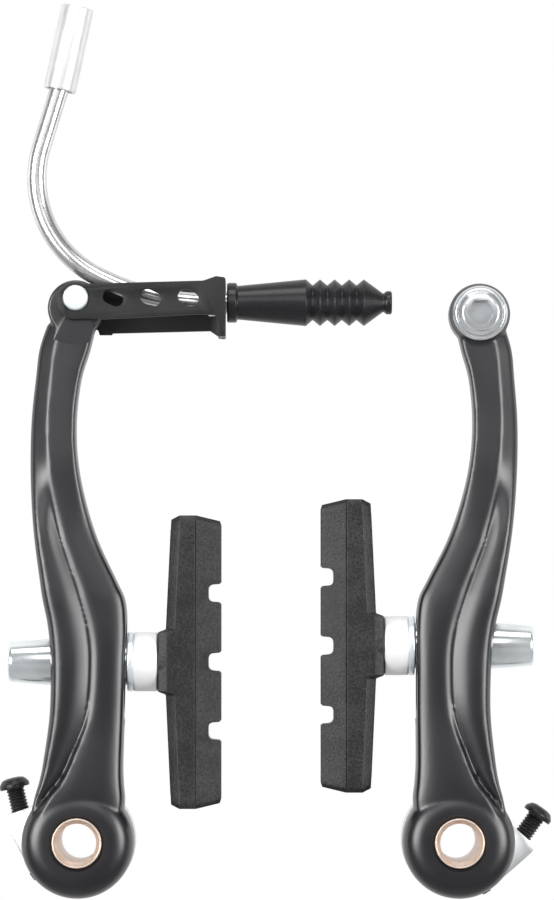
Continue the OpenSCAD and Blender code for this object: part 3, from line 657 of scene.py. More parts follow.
@dataclass(frozen=True)
class SatinPaint:
    """Black paint over a blasted forging: fine peel, slightly greyer where it is rubbed."""

    name: str
    colour: Colour = (0.0055, 0.0055, 0.0080)
    rubbed: Colour = (0.0080, 0.0080, 0.0110)
    roughness: float = 0.34
    shine: float = 0.8
    peel: float = 0.004

    def make(self) -> Material:
        """Build the material."""
        g = Graph(self.name)
        at = g.place()
        cloud = g.noise(at, 9.0, 3.0)
        fine = g.noise(at, 0.28, 2.0, 0.55)
        g.use({"Base Color": g.blend(cloud.ramp(0.40, 0.66), self.colour, self.rubbed),
               "Roughness": cloud * 0.06 + fine * 0.05 + (self.roughness - 0.055), "Specular IOR Level": self.shine})
        g.bump(fine, self.peel)
        return g.material


@dataclass(frozen=True)
class TurnedMetal:
    """Bare metal with the fine rings that a lathe leaves about its axis."""

    name: str
    colour: Colour
    axis: Axis
    centre: tuple[float, float, float]
    roughness: float = 0.26
    groove: float = 0.35
    depth: float = 0.0015
    tone: float = 0.12
    dark: Colour | None = None
    metallic: float = 1.0

    def make(self) -> Material:
        """Build the material."""
        g = Graph(self.name)
        at = g.place(self.centre)
        radial, along = g.around(at, self.axis), g.axis(at, self.axis)
        wobble = g.noise(at, 1.6, 2.0)
        rings = (radial + along * 0.93 + wobble * 0.06).wave(self.groove)
        soft = g.noise(at, 3.2, 3.0)
        low = self.dark or tuple(c * (1 - self.tone * 2) for c in self.colour)
        g.use({"Base Color": g.blend(soft.ramp(0.3, 0.62), low, self.colour), "Metallic": self.metallic,
               "Roughness": rings * 0.06 + soft * 0.10 + (self.roughness - 0.08)})
        g.bump(rings, self.depth)
        return g.material


@dataclass(frozen=True)
class SatinMetal:
    """Bare metal with a fine tumbled grain, drawn out along one axis if stretched."""

    name: str
    colour: Colour
    roughness: float = 0.3
    grain: float = 0.25
    depth: float = 0.002
    stretch: tuple[float, float, float] = (1.0, 1.0, 1.0)
    metallic: float = 1.0

    def make(self) -> Material:
        """Build the material."""
        g = Graph(self.name)
        at = g.place()
        fine = g.noise(at, self.grain, 3.0, 0.6, self.stretch)
        cloud = g.noise(at, 5.0, 2.0)
        g.use({"Base Color": g.blend(cloud.ramp(0.35, 0.65), tuple(c * 0.90 for c in self.colour), self.colour),
               "Metallic": self.metallic, "Roughness": fine * 0.10 + cloud * 0.06 + (self.roughness - 0.08)})
        g.bump(fine, self.depth)
        return g.material


@dataclass(frozen=True)
class Rubber:
    """Moulded rubber: matt, with the mould's grain and a faint bloom."""

    name: str
    colour: Colour
    bloom: Colour
    roughness: float = 0.62
    grain: float = 0.32
    depth: float = 0.02

    def make(self) -> Material:
        """Build the material."""
        g = Graph(self.name)
        at = g.place()
        fine = g.noise(at, self.grain, 3.0, 0.6)
        cloud = g.noise(at, 6.0, 3.0)
        g.use({"Base Color": g.blend((cloud * 0.35 + fine * 0.65).ramp(0.42, 0.62), self.colour, self.bloom),
               "Roughness": fine * 0.16 + (self.roughness - 0.08), "Specular IOR Level": 0.42})
        g.bump(fine, self.depth)
        return g.material


@dataclass(frozen=True)
class BlackOxide:
    """Blackened steel, faintly browner on its high grain."""

    name: str
    colour: Colour = (0.018, 0.018, 0.019)
    worn: Colour = (0.045, 0.043, 0.042)
    roughness: float = 0.34
    grain: float = 0.5
    depth: float = 0.003

    def make(self) -> Material:
        """Build the material."""
        g = Graph(self.name)
        at = g.place()
        fine = g.noise(at, self.grain, 3.0, 0.6)
        g.use({"Base Color": g.blend(fine.ramp(0.45, 0.75), self.colour, self.worn), "Metallic": 0.25,
               "Roughness": fine * 0.14 + (self.roughness - 0.07)})
        g.bump(fine, self.depth)
        return g.material


@dataclass(frozen=True)
class Plastic:
    """Natural, slightly waxy plastic."""

    name: str
    colour: Colour = (0.82, 0.82, 0.78)

    def make(self) -> Material:
        """Build the material."""
        g = Graph(self.name)
        at = g.place()
        cloud = g.noise(at, 2.0, 2.0)
        g.use({"Base Color": g.blend(cloud, tuple(c * 0.93 for c in self.colour), self.colour),
               "Roughness": cloud * 0.1 + 0.38})
        g.bump(cloud, 0.01)
        return g.material


def dress(obj: Object, material: Material) -> None:
    """Give every face of an object one material."""
    if not obj.data.materials:
        obj.data.materials.append(material)
    for i in range(len(obj.material_slots)):
        obj.material_slots[i].link = "OBJECT"
        obj.material_slots[i].material = material


def mounted(obj: Object, body: str, slot: str, material: Material, *nodes: str, angle: float = 32.0) -> Object:
    """Finish a new piece and fix it to its body.

    Args:
        obj: the piece.
        body: the CAD body that it moves with.
        slot: the record's material slot; not used.
        material: its finish.
        nodes: the CAD nodes that it stands for.
        angle: edges sharper than this stay crisp, in degrees.

    Returns:
        The same piece.
    """
    Bench.finished(obj, angle)
    dress(obj, material)
    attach(obj, body)
    if nodes:
        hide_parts(*nodes)
    log.info("%s: %d faces on %s", obj.name, len(obj.data.polygons), body)
    return obj


# The arms.


@dataclass
class Forging:
    """One brake arm: a two-lobed forging with a bored eye, a pad slot and a head. Millimetres."""

    side: Side
    eye_r: float = 11.8
    eye_round: float = 5.2
    eye_bevel: float = 0.7
    sleeve_bore_r: float = 5.24
    crease_depth: float = 1.15
    crease_high: float = 0.05
    form_change: Point2 = (0.58, 0.74)
    foot_rise: float = 1.09
    lobe_fall: float = 0.76
    foot_zone: Point2 = (0.10, 0.26)
    lobe_zone: Point2 = (0.05, 0.29)
    relax_passes: int = 9
    crease_start: Point2 = (0.02, 0.15)
    slot_half_w: float = 3.6
    inner_seat_r: float = 6.4
    pocket_r: float = 5.65
    peg_uv: Point2 = (7.5, 60.0)
    peg_r: float = 1.197
    peg_back: float = -5.88
    grain: float = 0.32
    stations: list[list[float]] = field(default_factory=lambda: [
        [-0.030, -0.520, 0.560, 0.520, 1.06, 0.62],
        [0.030, -0.700, 0.790, 0.750, 1.07, 0.63],
        [0.077, -0.764, 0.749, 0.580, 1.08, 0.64],
        [0.112, -0.734, 0.672, 0.350, 1.065, 0.66],
        [0.153, -0.713, 0.612, 0.176, 1.04, 0.68],
        [0.243, -0.713, 0.530, -0.105, 1.00, 0.84],
        [0.342, -0.713, 0.545, -0.155, 1.00, 0.90],
        [0.405, -0.713, 0.606, -0.085, 0.99, 0.90],
        [0.458, -0.665, 0.714, 0.056, 0.98, 0.88],
        [0.496, -0.510, 0.774, 0.176, 0.95, 0.85],
        [0.572, -0.172, 0.884, 0.432, 0.88, 0.77],
        [0.649, 0.064, 0.960, 0.600, 0.80, 0.70],
        [0.724, 0.208, 1.000, 0.690, 0.73, 0.64],
        [0.801, 0.250, 1.000, 0.725, 0.67, 0.60],
        [0.877, 0.191, 0.951, 0.690, 0.63, 0.57],
        [0.932, 0.060, 0.905, 0.640, 0.60, 0.55],
        [0.980, -0.030, 0.780, 0.540, 0.58, 0.54],
    ])
    inner_low: list[Point2] = field(default_factory=lambda: [
        (0, 0.48), (0.03, 0.70), (0.06, 0.754), (0.10, 0.784), (0.16, 0.813), (0.24, 0.841), (0.34, 0.865),
        (0.46, 0.884), (0.60, 0.896), (0.75, 0.90), (0.89, 0.885), (0.95, 0.86)])
    inner_high: list[Point2] = field(default_factory=lambda: [
        (0, 0.70), (0.015, 0.84), (0.035, 0.91), (0.07, 0.955), (0.13, 0.98), (0.22, 0.99), (0.34, 0.996),
        (0.46, 1), (0.64, 1), (0.80, 1), (0.92, 1), (0.97, 0.995)])
    outer_low: list[Point2] = field(default_factory=lambda: [
        (0.05, 0.83), (0.14, 0.885), (0.26, 0.94), (0.38, 0.985), (0.50, 1.015), (0.62, 1.03), (0.74, 1.03),
        (0.85, 1.0), (0.93, 0.92), (0.98, 0.79), (1, 0.61)])
    outer_high: list[Point2] = field(default_factory=lambda: [
        (0.04, 0.97), (0.12, 0.935), (0.24, 0.88), (0.36, 0.825), (0.48, 0.77), (0.60, 0.715), (0.72, 0.66),
        (0.82, 0.61), (0.91, 0.53), (0.97, 0.42), (1, 0.25)])
    back: list[Point2] = field(default_factory=lambda: [(0, 0.86), (0.07, 0.97), (0.30, 1)])

    def section(self, row: Sequence[float]) -> Ring:
        """One closed section of the arm.

        Args:
            row: height, inner edge, outer edge, crease, front and back, as shares.

        Returns:
            The section's points in the arm's frame.
        """
        lay = LAYOUT
        form = smooth((row[0] - self.form_change[0]) / (self.form_change[1] - self.form_change[0]))
        run_in = smooth((row[0] - self.crease_start[0]) / (self.crease_start[1] - self.crease_start[0]))
        v, u0, u1 = row[0] * lay.arm_len, row[1] * lay.arm_bow, row[2] * lay.arm_bow
        uc = min(row[3] * lay.arm_bow, mix(u0, u1, 0.95))
        front, back = row[4] * lay.arm_half_depth, row[5] * lay.arm_half_depth
        crease = self.crease_depth * run_in * mix(1, self.crease_high, form)
        foot = (row[0] - self.foot_zone[0]) / (self.foot_zone[1] - self.foot_zone[0])
        lobe = (row[0] - self.lobe_zone[0]) / (self.lobe_zone[1] - self.lobe_zone[0])
        rise, fall = mix(self.foot_rise, 1, smooth(foot)), mix(self.lobe_fall, 1, smooth(lobe))
        mid = lay.arm_mid
        inner = [(mix(u0, uc, mix(a[0], b[0], form)), mid - front * mix(a[1], b[1], form) * rise)
                 for a, b in zip(self.inner_low, self.inner_high)]
        outer = [(mix(uc, u1, mix(a[0], b[0], form)), mid - front * mix(a[1], b[1], form) * fall)
                 for a, b in zip(self.outer_low, self.outer_high)]
        floor = (uc, mid - front * fall + crease)
        edge_out = [(mix(u1, u0, b[0]), mid + back * b[1]) for b in self.back]
        edge_in = [(mix(u0, u1, b[0]), mid + back * b[1]) for b in reversed(self.back)]
        outline = [*spline([*inner, floor], 3)[:-1], *spline([floor, *outer], 3), *edge_out, *edge_in]
        return [Vector((p[0], p[1], v)) for p in outline]

    def blank(self, place: Matrix) -> Object:
        """The forging before it is machined: blade, eye and head run into one skin."""
        lay = LAYOUT
        parts = [Bench.lofted("blade", [self.section(s) for s in spline(self.stations, 6)], place)]
        eye = rounded([(lay.eye_back, 0), (lay.eye_back, self.eye_r, 0.6), (lay.eye_front, self.eye_r, self.eye_round),
                       (lay.eye_front, 0)], 10)
        parts.append(Bench.turned("eye", eye, place, Axis.Y, 128))
        half = lay.head_depth / 2
        if self.side is Side.LEFT:
            at = (lay.arm_bow * 0.312, lay.arm_mid, lay.arm_len * 1.0105)
            parts.append(rod("head", 5.9, (-half, half), at, place, Axis.Y, 128, 0.5))
        else:
            at = (lay.bolt_uv[0], lay.arm_mid, lay.bolt_uv[1])
            parts.append(rod("head", 6.45, (-half, half), at, place, Axis.Y, 128, 0.9))
            parts.append(rod("head_boss", 5.9, (-half - lay.bolt_boss_h, 0), at, place, Axis.Y, 128, 0.4))
        peg = (self.peg_uv[0], 0, self.peg_uv[1])
        parts.append(rod("peg", self.peg_r, (lay.arm_mid, self.peg_back), peg, place, Axis.Y, 48, 0.3))
        return Bench.forged(Bench.joined(f"{self.side.word}_forging", parts), self.grain * MM, self.relax_passes)

    def slot(self, name: str, r: float, u: Point2, place: Matrix) -> Object:
        """A cutter as long as the pad's travel, of half width r, between two places along u."""
        lay = LAYOUT
        ring = [Vector((0, r * math.cos(a),
                        r * math.sin(a) + (lay.slot_travel if math.sin(a) >= 0 else -lay.slot_travel)))
                for a in (2 * math.pi * (k + 0.5) / 64 for k in range(64))]
        return Bench.lofted(name, [[p + Vector((x, lay.stud_y, lay.slot_mid)) for p in ring] for x in u], place)

    def cutters(self, place: Matrix) -> list[Object]:
        """Everything that is machined out of the forging."""
        lay = LAYOUT
        bore, front = self.sleeve_bore_r, lay.eye_front
        mouth = [(front - 1, 0), (front - 1, bore + self.eye_bevel + 1), (front, bore + self.eye_bevel),
                 (front + self.eye_bevel, bore), (lay.eye_back + 1, bore), (lay.eye_back + 1, 0)]
        seat_out = lay.seat_in + lay.slot_wall
        tools = [
            Bench.turned("bore", mouth, place, Axis.Y, 128),
            self.slot("stud_slot", self.slot_half_w, (lay.seat_in - 2, seat_out + 2), place),
            self.slot("seat", self.inner_seat_r, (lay.seat_in - 1, lay.seat_in), place),
            self.slot("pocket", self.pocket_r, (seat_out, seat_out + lay.arm_bow), place),
        ]
        half = lay.head_depth / 2
        if self.side is Side.LEFT:
            at = (lay.rivet_uv[0], lay.arm_mid, lay.rivet_uv[1])
            tools.append(rod("rivet_hole", 2.2, (-9, 9), at, place, Axis.Y))
            for sign in (-1, 1):
                ends = ((half - 0.03) * sign, 2 * half * sign)
                tools.append(rod("head_face", 9.75, (min(ends), max(ends)), at, place, Axis.Y, 128))
        else:
            at = (lay.bolt_uv[0], lay.arm_mid, lay.bolt_uv[1])
            tools.append(rod("bolt_hole", lay.stud_r, (-9, 9), at, place, Axis.Y))
        return tools

    def build(self) -> Object:
        """Forge, machine and paint the arm."""
        place = LAYOUT.on_arm(self.side)
        arm = Bench.closed(Bench.cut(self.blank(place), self.cutters(place)))
        name = f"{self.side.word}_arm"
        Bench.named(arm, f"{name}_forging")
        paint = SatinPaint(f"{name}_paint").make()
        return mounted(arm, name, "arm_paint", paint, name, angle=38)


# Pivots.


@dataclass
class Pivot:
    """What sits on one frame boss: sleeve, spring holder, stopper pin, tension screw and spring."""

    side: Side
    sleeve_r: float = 5.2
    sleeve_len: float = 23.9
    bore_r: float = 4.05
    mouth_r: float = 4.8
    mouth_depth: float = 1.4
    holder_r: float = 11.8
    lug_depth: float = 8.4
    screw_tilt: float = 13.5
    screw_r: float = 2.0
    screw_grip: float = 3.0
    screw_show: float = 4.9
    screw_head_r: float = 3.2
    screw_head_h: float = 2.3
    thread_pitch: float = 0.7
    thread_depth: float = 0.36
    wire_r: float = 0.95
    short_leg_angle: float = -38.0
    leave_angle: float = 35.0
    coil_back: float = -3.6536
    leg_y: float = -7.6536
    leg_back: float = -7.4

    def sleeve(self) -> Object:
        """The bronze sleeve that the arm turns on."""
        n = -self.sleeve_len
        profile = rounded([(0, self.bore_r, 0.2), (0, self.sleeve_r, 0.3), (n, self.sleeve_r, 0.35),
                           (n, self.mouth_r, 0.15), (n + self.mouth_depth, self.mouth_r, 0.1),
                           (n + self.mouth_depth + 0.75, self.bore_r, 0.1)])
        name = f"{self.side.word}_pivot_sleeve"
        obj = Bench.turned(f"{name}_turned", profile, LAYOUT.on_boss(self.side), Axis.Y, 128)
        centre = (self.side.value * LAYOUT.boss_spacing / 2, 0.0, 0.0)
        finish = TurnedMetal(f"{name}_bronze", (0.79, 0.655, 0.56), Axis.Y, centre, 0.38, 0.42, 0.002, 0.04,
                             metallic=0.65)
        return mounted(obj, "boss_mounted_parts", "bronze", finish.make(), name)

    def holder(self) -> Object:
        """The spring holder behind the eye, with its lug."""
        name = f"{self.side.word}_spring_holder"
        obj = Bench.softened(name, f"{name}_block", 0.28)
        finish = SatinMetal(f"{name}_alloy", (0.74, 0.75, 0.76), 0.32, 0.3, 0.003, metallic=0.75)
        return mounted(obj, "boss_mounted_parts", "holder_alloy", finish.make())

    def screw_place(self) -> Matrix:
        """Place for the tension screw, with z along it."""
        return (LAYOUT.on_boss(self.side)
                @ Matrix.Translation((self.holder_r * 1.08, -self.lug_depth / 2, self.holder_r * 0.523))
                @ Matrix.Rotation(math.radians(self.screw_tilt), 4, "Y"))

    def screw(self) -> Object:
        """The tension screw, with a real thread."""
        place = self.screw_place()
        rings, per_turn, sides = [], 8, 40
        length = self.screw_grip + self.screw_show
        count = round(length / self.thread_pitch * per_turn)
        for i in range(count + 1):
            z = i * length / count
            ease = smooth(min(z, length - z) / self.thread_pitch)
            ring = []
            for k in range(sides):
                phase = (z / self.thread_pitch - k / sides) % 1.0
                dip = self.thread_depth * abs(2 * phase - 1) ** 1.2
                r = self.screw_r - 0.02 - dip * (0.35 + 0.65 * ease)
                a = 2 * math.pi * k / sides
                ring.append(Vector((r * math.cos(a), r * math.sin(a), z - self.screw_grip)))
            rings.append(ring)
        shank = Bench.lofted("shank", rings, place)
        z0, z1, r = self.screw_show, self.screw_show + self.screw_head_h, self.screw_head_r
        profile = rounded([(z0, 0), (z0, r, 0.25), (z0 + 0.9, r, 0.5), (z1 - 0.35, r * 0.74, 1.2), (z1, r * 0.3, 0.8),
                           (z1, 0)], 5)
        head = Bench.turned("head", profile, place, Axis.Z, 64)
        hexagon = rod("key", 1.25 / math.cos(math.pi / 6), (z0 + 0.92, z1 + 1), (0, 0, 0), place, Axis.Z, 6)
        Bench.cut(head, [hexagon])
        name = f"{self.side.word}_tension_screw"
        obj = Bench.joined(f"{name}_threaded", [head, shank])
        finish = BlackOxide(f"{name}_black").make()
        return mounted(obj, f"{self.side.word}_screw", "black_screw", finish, name, angle=30)

    def spring_path(self) -> list[Vector]:
        """The spring's centre line in the arm's frame: short leg, coil, long leg."""
        coil_r = self.sleeve_r + self.wire_r * 2 * 1.15
        turn = LAYOUT.left_lean if self.side is Side.LEFT else LAYOUT.holder_turn
        start = self.short_leg_angle - turn
        end = 720 + self.leave_angle
        ends = [Vector((r * math.cos(math.radians(start)), self.coil_back, r * math.sin(math.radians(start))))
                for r in (self.holder_r * 1.1, self.holder_r, coil_r + self.wire_r * 1.4)]
        coil = [Vector((coil_r * math.cos(a), mix(self.coil_back, self.leg_y, k / 90), coil_r * math.sin(a)))
                for k, a in ((k, math.radians(mix(start, end, k / 90))) for k in range(91))]
        a = math.radians(self.leave_angle)

        def tangent(t: float, y: float) -> tuple[float, float, float]:
            """A point on the line that the leg leaves the coil along."""
            return coil_r * math.cos(a) - t * math.sin(a), y, coil_r * math.sin(a) + t * math.cos(a)

        leg_u = 7.5 - 1.197 - self.wire_r - 0.1
        y0, y1, hr = self.leg_y, self.leg_back, self.holder_r
        leg = [(coil[-1].x, coil[-1].y, coil[-1].z), tangent(coil_r * 0.5, y0), tangent(coil_r, y0),
               tangent(coil_r * 1.35, mix(y0, y1, 0.1)), (0.0, mix(y0, y1, 0.5), hr * 1.55),
               (leg_u * 0.12, mix(y0, y1, 0.9), hr * 2), (leg_u * 0.3, y1, hr * 2.4), (leg_u * 0.6, y1, 37.0),
               (leg_u * 0.93, y1, mix(37.0, 60.0, 0.7)), (leg_u, y1, 60.0 + 2 * 1.197)]
        return [*ends, *coil, *(Vector(p) for p in spline(leg, 5)[1:])]

    def spring(self) -> Object:
        """The return spring: its coil winds between the boss and the arm."""
        path = self.spring_path()
        rings = swept_rings(path, self.wire_r, 14, Vector((0.05, 1, 0.02)))
        name = f"{self.side.word}_return_spring"
        obj = Bench.lofted(f"{name}_wire", rings, LAYOUT.on_arm(self.side))
        Bench.finished(obj, 40)
        dress(obj, BlackOxide(f"{name}_black", (0.022, 0.022, 0.024), (0.06, 0.058, 0.056), 0.36, 0.8).make())
        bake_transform(obj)
        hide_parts(name)
        log.info("%s: %d faces between its boss and its arm", obj.name, len(obj.data.polygons))
        return obj

    def build(self) -> list[Object]:
        """Make every piece of the pivot."""
        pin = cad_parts[f"{self.side.word}_stopper_pin"]
        dress(pin, SatinMetal(f"{self.side.word}_stopper_steel", (0.62, 0.63, 0.65), 0.3).make())
        Bench.finished(pin)
        return [self.sleeve(), self.holder(), self.screw(), self.spring()]


# Pads.


@dataclass
class PadSet:
    """One pad with its stud, ball washers, spacer and cap nut; x runs outward from the ball centre."""

    side: Side
    pad_len: float = 61.5
    pad_depth: float = 11.2
    pad_w: float = 12.6
    face_w: float = 9.6
    edge: float = 5.2
    hub_h: float = 2.2
    hub_r: float = 6.3
    notch_pitch: float = 14.5
    notch_w: float = 4.6
    notch_depth: float = 2.7
    end_drop: float = 0.02
    face_x: float = -26.17
    cup_back: float = 7.72
    cup_gap: float = 0.42
    washer_r: float = 6.2
    outer_washer_r: float = 5.2
    spacer_t: float = 5.05
    hole_r: float = 3.04
    nut_len: float = 11.0
    nut_base_r: float = 5.05
    nut_tip_r: float = 4.15
    key_af: float = 5.0

    @property
    def place(self) -> Matrix:
        """The matrix that puts the set on its arm."""
        return LAYOUT.on_stud(self.side)

    def nut(self) -> Object:
        """The tapered cap nut with its hexagon socket."""
        b, e = self.cup_back, self.cup_back + self.nut_len
        profile = rounded([(b, 0), (b, self.nut_base_r, 0.25), (e, self.nut_tip_r, 1.0), (e, 0)], 6)
        name = f"{self.side.word}_cap_nut"
        obj = Bench.turned(f"{name}_cone", profile, self.place, Axis.X, 128)
        nothing = (0, 0, 0)
        tools = [rod("key", self.key_af / 2 / math.cos(math.pi / 6), (e - 3.6, e + 1), nothing, self.place, Axis.X, 6),
                 rod("thread", self.hole_r, (b - 1, b + 6), nothing, self.place, Axis.X, 64)]
        Bench.cut(obj, tools)
        finish = SatinMetal(f"{name}_chrome", (0.84, 0.88, 0.90), 0.16, 0.6, 0.0006, metallic=0.72)
        return mounted(obj, f"{self.side.word}_clamp", "nut_chrome", finish.make(), name)

    def cup(self, out: int, r: float, word: str) -> Object:
        """A concave washer.

        Args:
            out: -1 on the pad's side of the arm, 1 on the nut's side.
            r: its radius.
            word: inner or outer.

        Returns:
            The washer.
        """
        name = f"{self.side.word}_{word}_concave_washer"
        ball = math.hypot(6.2, 4.8) + 0.04
        near = 6 + self.cup_gap
        rim = math.sqrt(ball ** 2 - near ** 2)
        bowl = [(math.sqrt(ball ** 2 - q * q), q) for q in (mix(rim, self.hole_r, k / 8) for k in range(9))]
        bowl = [(min(x, self.cup_back - 0.05), q) for x, q in bowl]
        outline = rounded([*bowl, (self.cup_back, self.hole_r), (self.cup_back, r, 0.3), (near, r, 0.3)])
        profile = [(x * out, q) for x, q in outline]
        obj = Bench.turned(f"{name}_turned", profile, self.place, Axis.X, 128)
        finish = TurnedMetal(f"{name}_steel", (0.80, 0.86, 0.90), Axis.X, self.centre, 0.30, 0.3, 0.001, 0.03,
                             metallic=0.5)
        return mounted(obj, f"{self.side.word}_clamp", "washer_steel", finish.make(), name)

    @property
    def centre(self) -> tuple[float, float, float]:
        """The ball centre in the frame, in millimetres."""
        at = self.place.translation / MM
        return at.x, at.y, at.z

    def spacer(self) -> Object:
        """The thick spacer between the washers and the pad."""
        name = f"{self.side.word}_spacer_washer"
        b, e = -self.cup_back - self.spacer_t, -self.cup_back
        profile = rounded([(b, self.hole_r, 0.2), (b, self.washer_r, 0.45), (e, self.washer_r, 0.45),
                           (e, self.hole_r, 0.2)], 5)
        obj = Bench.turned(f"{name}_turned", profile, self.place, Axis.X, 128)
        finish = SatinMetal(f"{name}_steel", (0.92, 0.92, 0.93), 0.42, 0.5, 0.001, metallic=0.25)
        return mounted(obj, f"{self.side.word}_clamp", "spacer_steel", finish.make(), name)

    def back_at(self, z: float) -> float:
        """The depth of the pad's back, from the braking face, at a height above the stud."""
        end, root, top = self.pad_depth * 0.94, self.pad_depth * 1.035, self.pad_depth + self.hub_h * 0.93
        far, near = self.pad_len / 2 - self.pad_depth * 0.08, self.hub_r * 1.11
        reach = abs(z)
        if reach < near:
            return mix(top, root, smooth((reach - self.hub_r * 0.97) / (near - self.hub_r * 0.97)))
        return mix(root, end, (reach - near) / (far - near))

    def pad_section(self, z: float) -> Ring:
        """One level section of the rubber.

        Args:
            z: the height above the stud.

        Returns:
            The section's points, from the braking face round to the back.
        """
        h = self.pad_len / 2
        round_in = 0.5 * smooth((abs(z) / h - 0.975) / 0.025)
        back = self.back_at(z)
        w0, w1 = self.face_w / 2 - round_in, self.pad_w / 2 - round_in
        bevel = mix(w1 * 0.80, w1, smooth((back - self.pad_depth * 1.035) / self.hub_h * 1.3) * 0.6)
        half = [(0.5 * round_in, w0, 0.35), (self.edge, w1 * 0.93, 0.15), (self.edge + 0.35, w1, 0.3),
                (back - 1.9, w1, 0.5), (back, bevel, 0.5)]
        outline = [*((x, -y, r) for x, y, r in half), *reversed(half)]
        return [Vector((x, y, z)) for x, y in rounded(outline, 4)]

    def notch(self, middle: float, place: Matrix) -> Object:
        """A cutter for one notch: wide lips, a flat bottom and round corners."""
        w, d, r = self.notch_w * 0.38, self.notch_depth, self.notch_w * 0.22
        outline = rounded([(-1, -w - 0.6), (0, -self.notch_w / 2, 0.3), (self.notch_w * 0.08, -self.notch_w * 0.42, 0.3),
                           (d, -w, r * 1.3), (d, w, r * 1.3), (self.notch_w * 0.08, self.notch_w * 0.42, 0.3),
                           (0, self.notch_w / 2, 0.3), (-1, w + 0.6)], 6)
        ends = [[Vector((x, y, z + middle)) for x, z in outline] for y in (-self.pad_w, self.pad_w)]
        return Bench.lofted("notch", ends, place)

    def rubber(self) -> Object:
        """The pad's rubber: bevelled block, notches and hub."""
        h, drop = self.pad_len / 2, self.pad_len * self.end_drop
        place = self.place @ Matrix.Translation((self.face_x, 0, 0))
        corner = self.pad_depth * 0.08
        levels = sorted({*(mix(-h, h, k / 60) for k in range(61)),
                         *(sign * z for sign in (-1, 1) for z in (5.9, 6.1, 6.3, 6.5, 6.7, 6.9, 7.1, h - 0.3, h - 0.6))})
        rings = []
        for z in levels:
            ring = self.pad_section(z)
            for p in ring:
                shy = drop * max(0.0, self.edge - p.x) / self.edge
                shy += corner * smooth((p.x - (self.pad_depth * 0.94 - corner * 1.3)) / (corner * 1.3))
                p.z = z * (h - shy) / h if abs(z) > h * 0.9 else z
            rings.append(ring)
        pad = Bench.lofted(f"{self.side.word}_pad_rubber_moulded", rings, place)
        hub = rounded([(self.pad_depth * 0.7, 0), (self.pad_depth * 0.7, self.hub_r * 0.9), (self.pad_depth, self.hub_r),
                       (self.pad_depth + self.hub_h, self.hub_r * 0.96, 0.4), (self.pad_depth + self.hub_h, 0)], 4)
        Bench.cut(pad, [Bench.turned("hub", hub, place, Axis.X, 96)], "UNION")
        tools = [self.notch(i * self.notch_pitch, place) for i in (-1, 0, 1)]
        plate_x, plate_r, plate_t = self.pad_depth * 0.6, 4.8, self.pad_depth * 0.12
        top = self.pad_depth + self.hub_h
        moulded_in = [(plate_x, 0), (plate_x, plate_r), (plate_x + plate_t, plate_r), (plate_x + plate_t, 3.0),
                      (top + 1, 3.0), (top + 1, 0)]
        tools.append(Bench.turned("plate", moulded_in, place, Axis.X, 64))
        Bench.closed(Bench.cut(pad, tools))
        name = f"{self.side.word}_pad_rubber"
        finish = Rubber(f"{name}_grain", (0.005, 0.005, 0.0054), (0.024, 0.024, 0.0245), 0.48, 0.5, 0.05).make()
        return mounted(pad, f"{self.side.word}_pad", "pad_rubber", finish, name, angle=34)

    def build(self) -> list[Object]:
        """Make every piece of the set."""
        word = self.side.word
        for node in ("inner_convex_washer", "outer_convex_washer"):
            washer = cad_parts[f"{word}_{node}"]
            dress(washer, TurnedMetal(f"{word}_{node}_steel", (0.74, 0.76, 0.79), Axis.X, self.centre, 0.22).make())
            Bench.finished(washer)
        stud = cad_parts[f"{word}_pad_stud"]
        dress(stud, ThreadedSteel(f"{word}_pad_stud_steel").make())
        Bench.finished(stud)
        return [self.rubber(), self.spacer(), self.cup(-1, self.washer_r, "inner"),
                self.cup(1, self.outer_washer_r, "outer"), self.nut()]


@dataclass(frozen=True)
class ThreadedSteel:
    """Zinc-plated steel whose rings along x read as a fine thread, with painted shade darkening each groove."""

    name: str
    colour: Colour = (0.60, 0.61, 0.63)
    pitch: float = 1.0

    def make(self) -> Material:
        """Build the material."""
        g = Graph(self.name)
        at = g.place()
        along = g.axis(at, Axis.X)
        thread = along.wave(self.pitch)
        fine = g.noise(at, 0.4, 2.0)
        # Painted shade: the base colour darkens towards each groove of the thread, where the bump sinks it; the bump
        # gives the real relief.
        g.use({"Base Color": g.blend(thread, tuple(c * 0.55 for c in self.colour), self.colour), "Metallic": 1.0,
               "Roughness": fine * 0.12 + 0.24})
        g.bump(thread, 0.25)
        return g.material


# Link, noodle, boot, bolt.


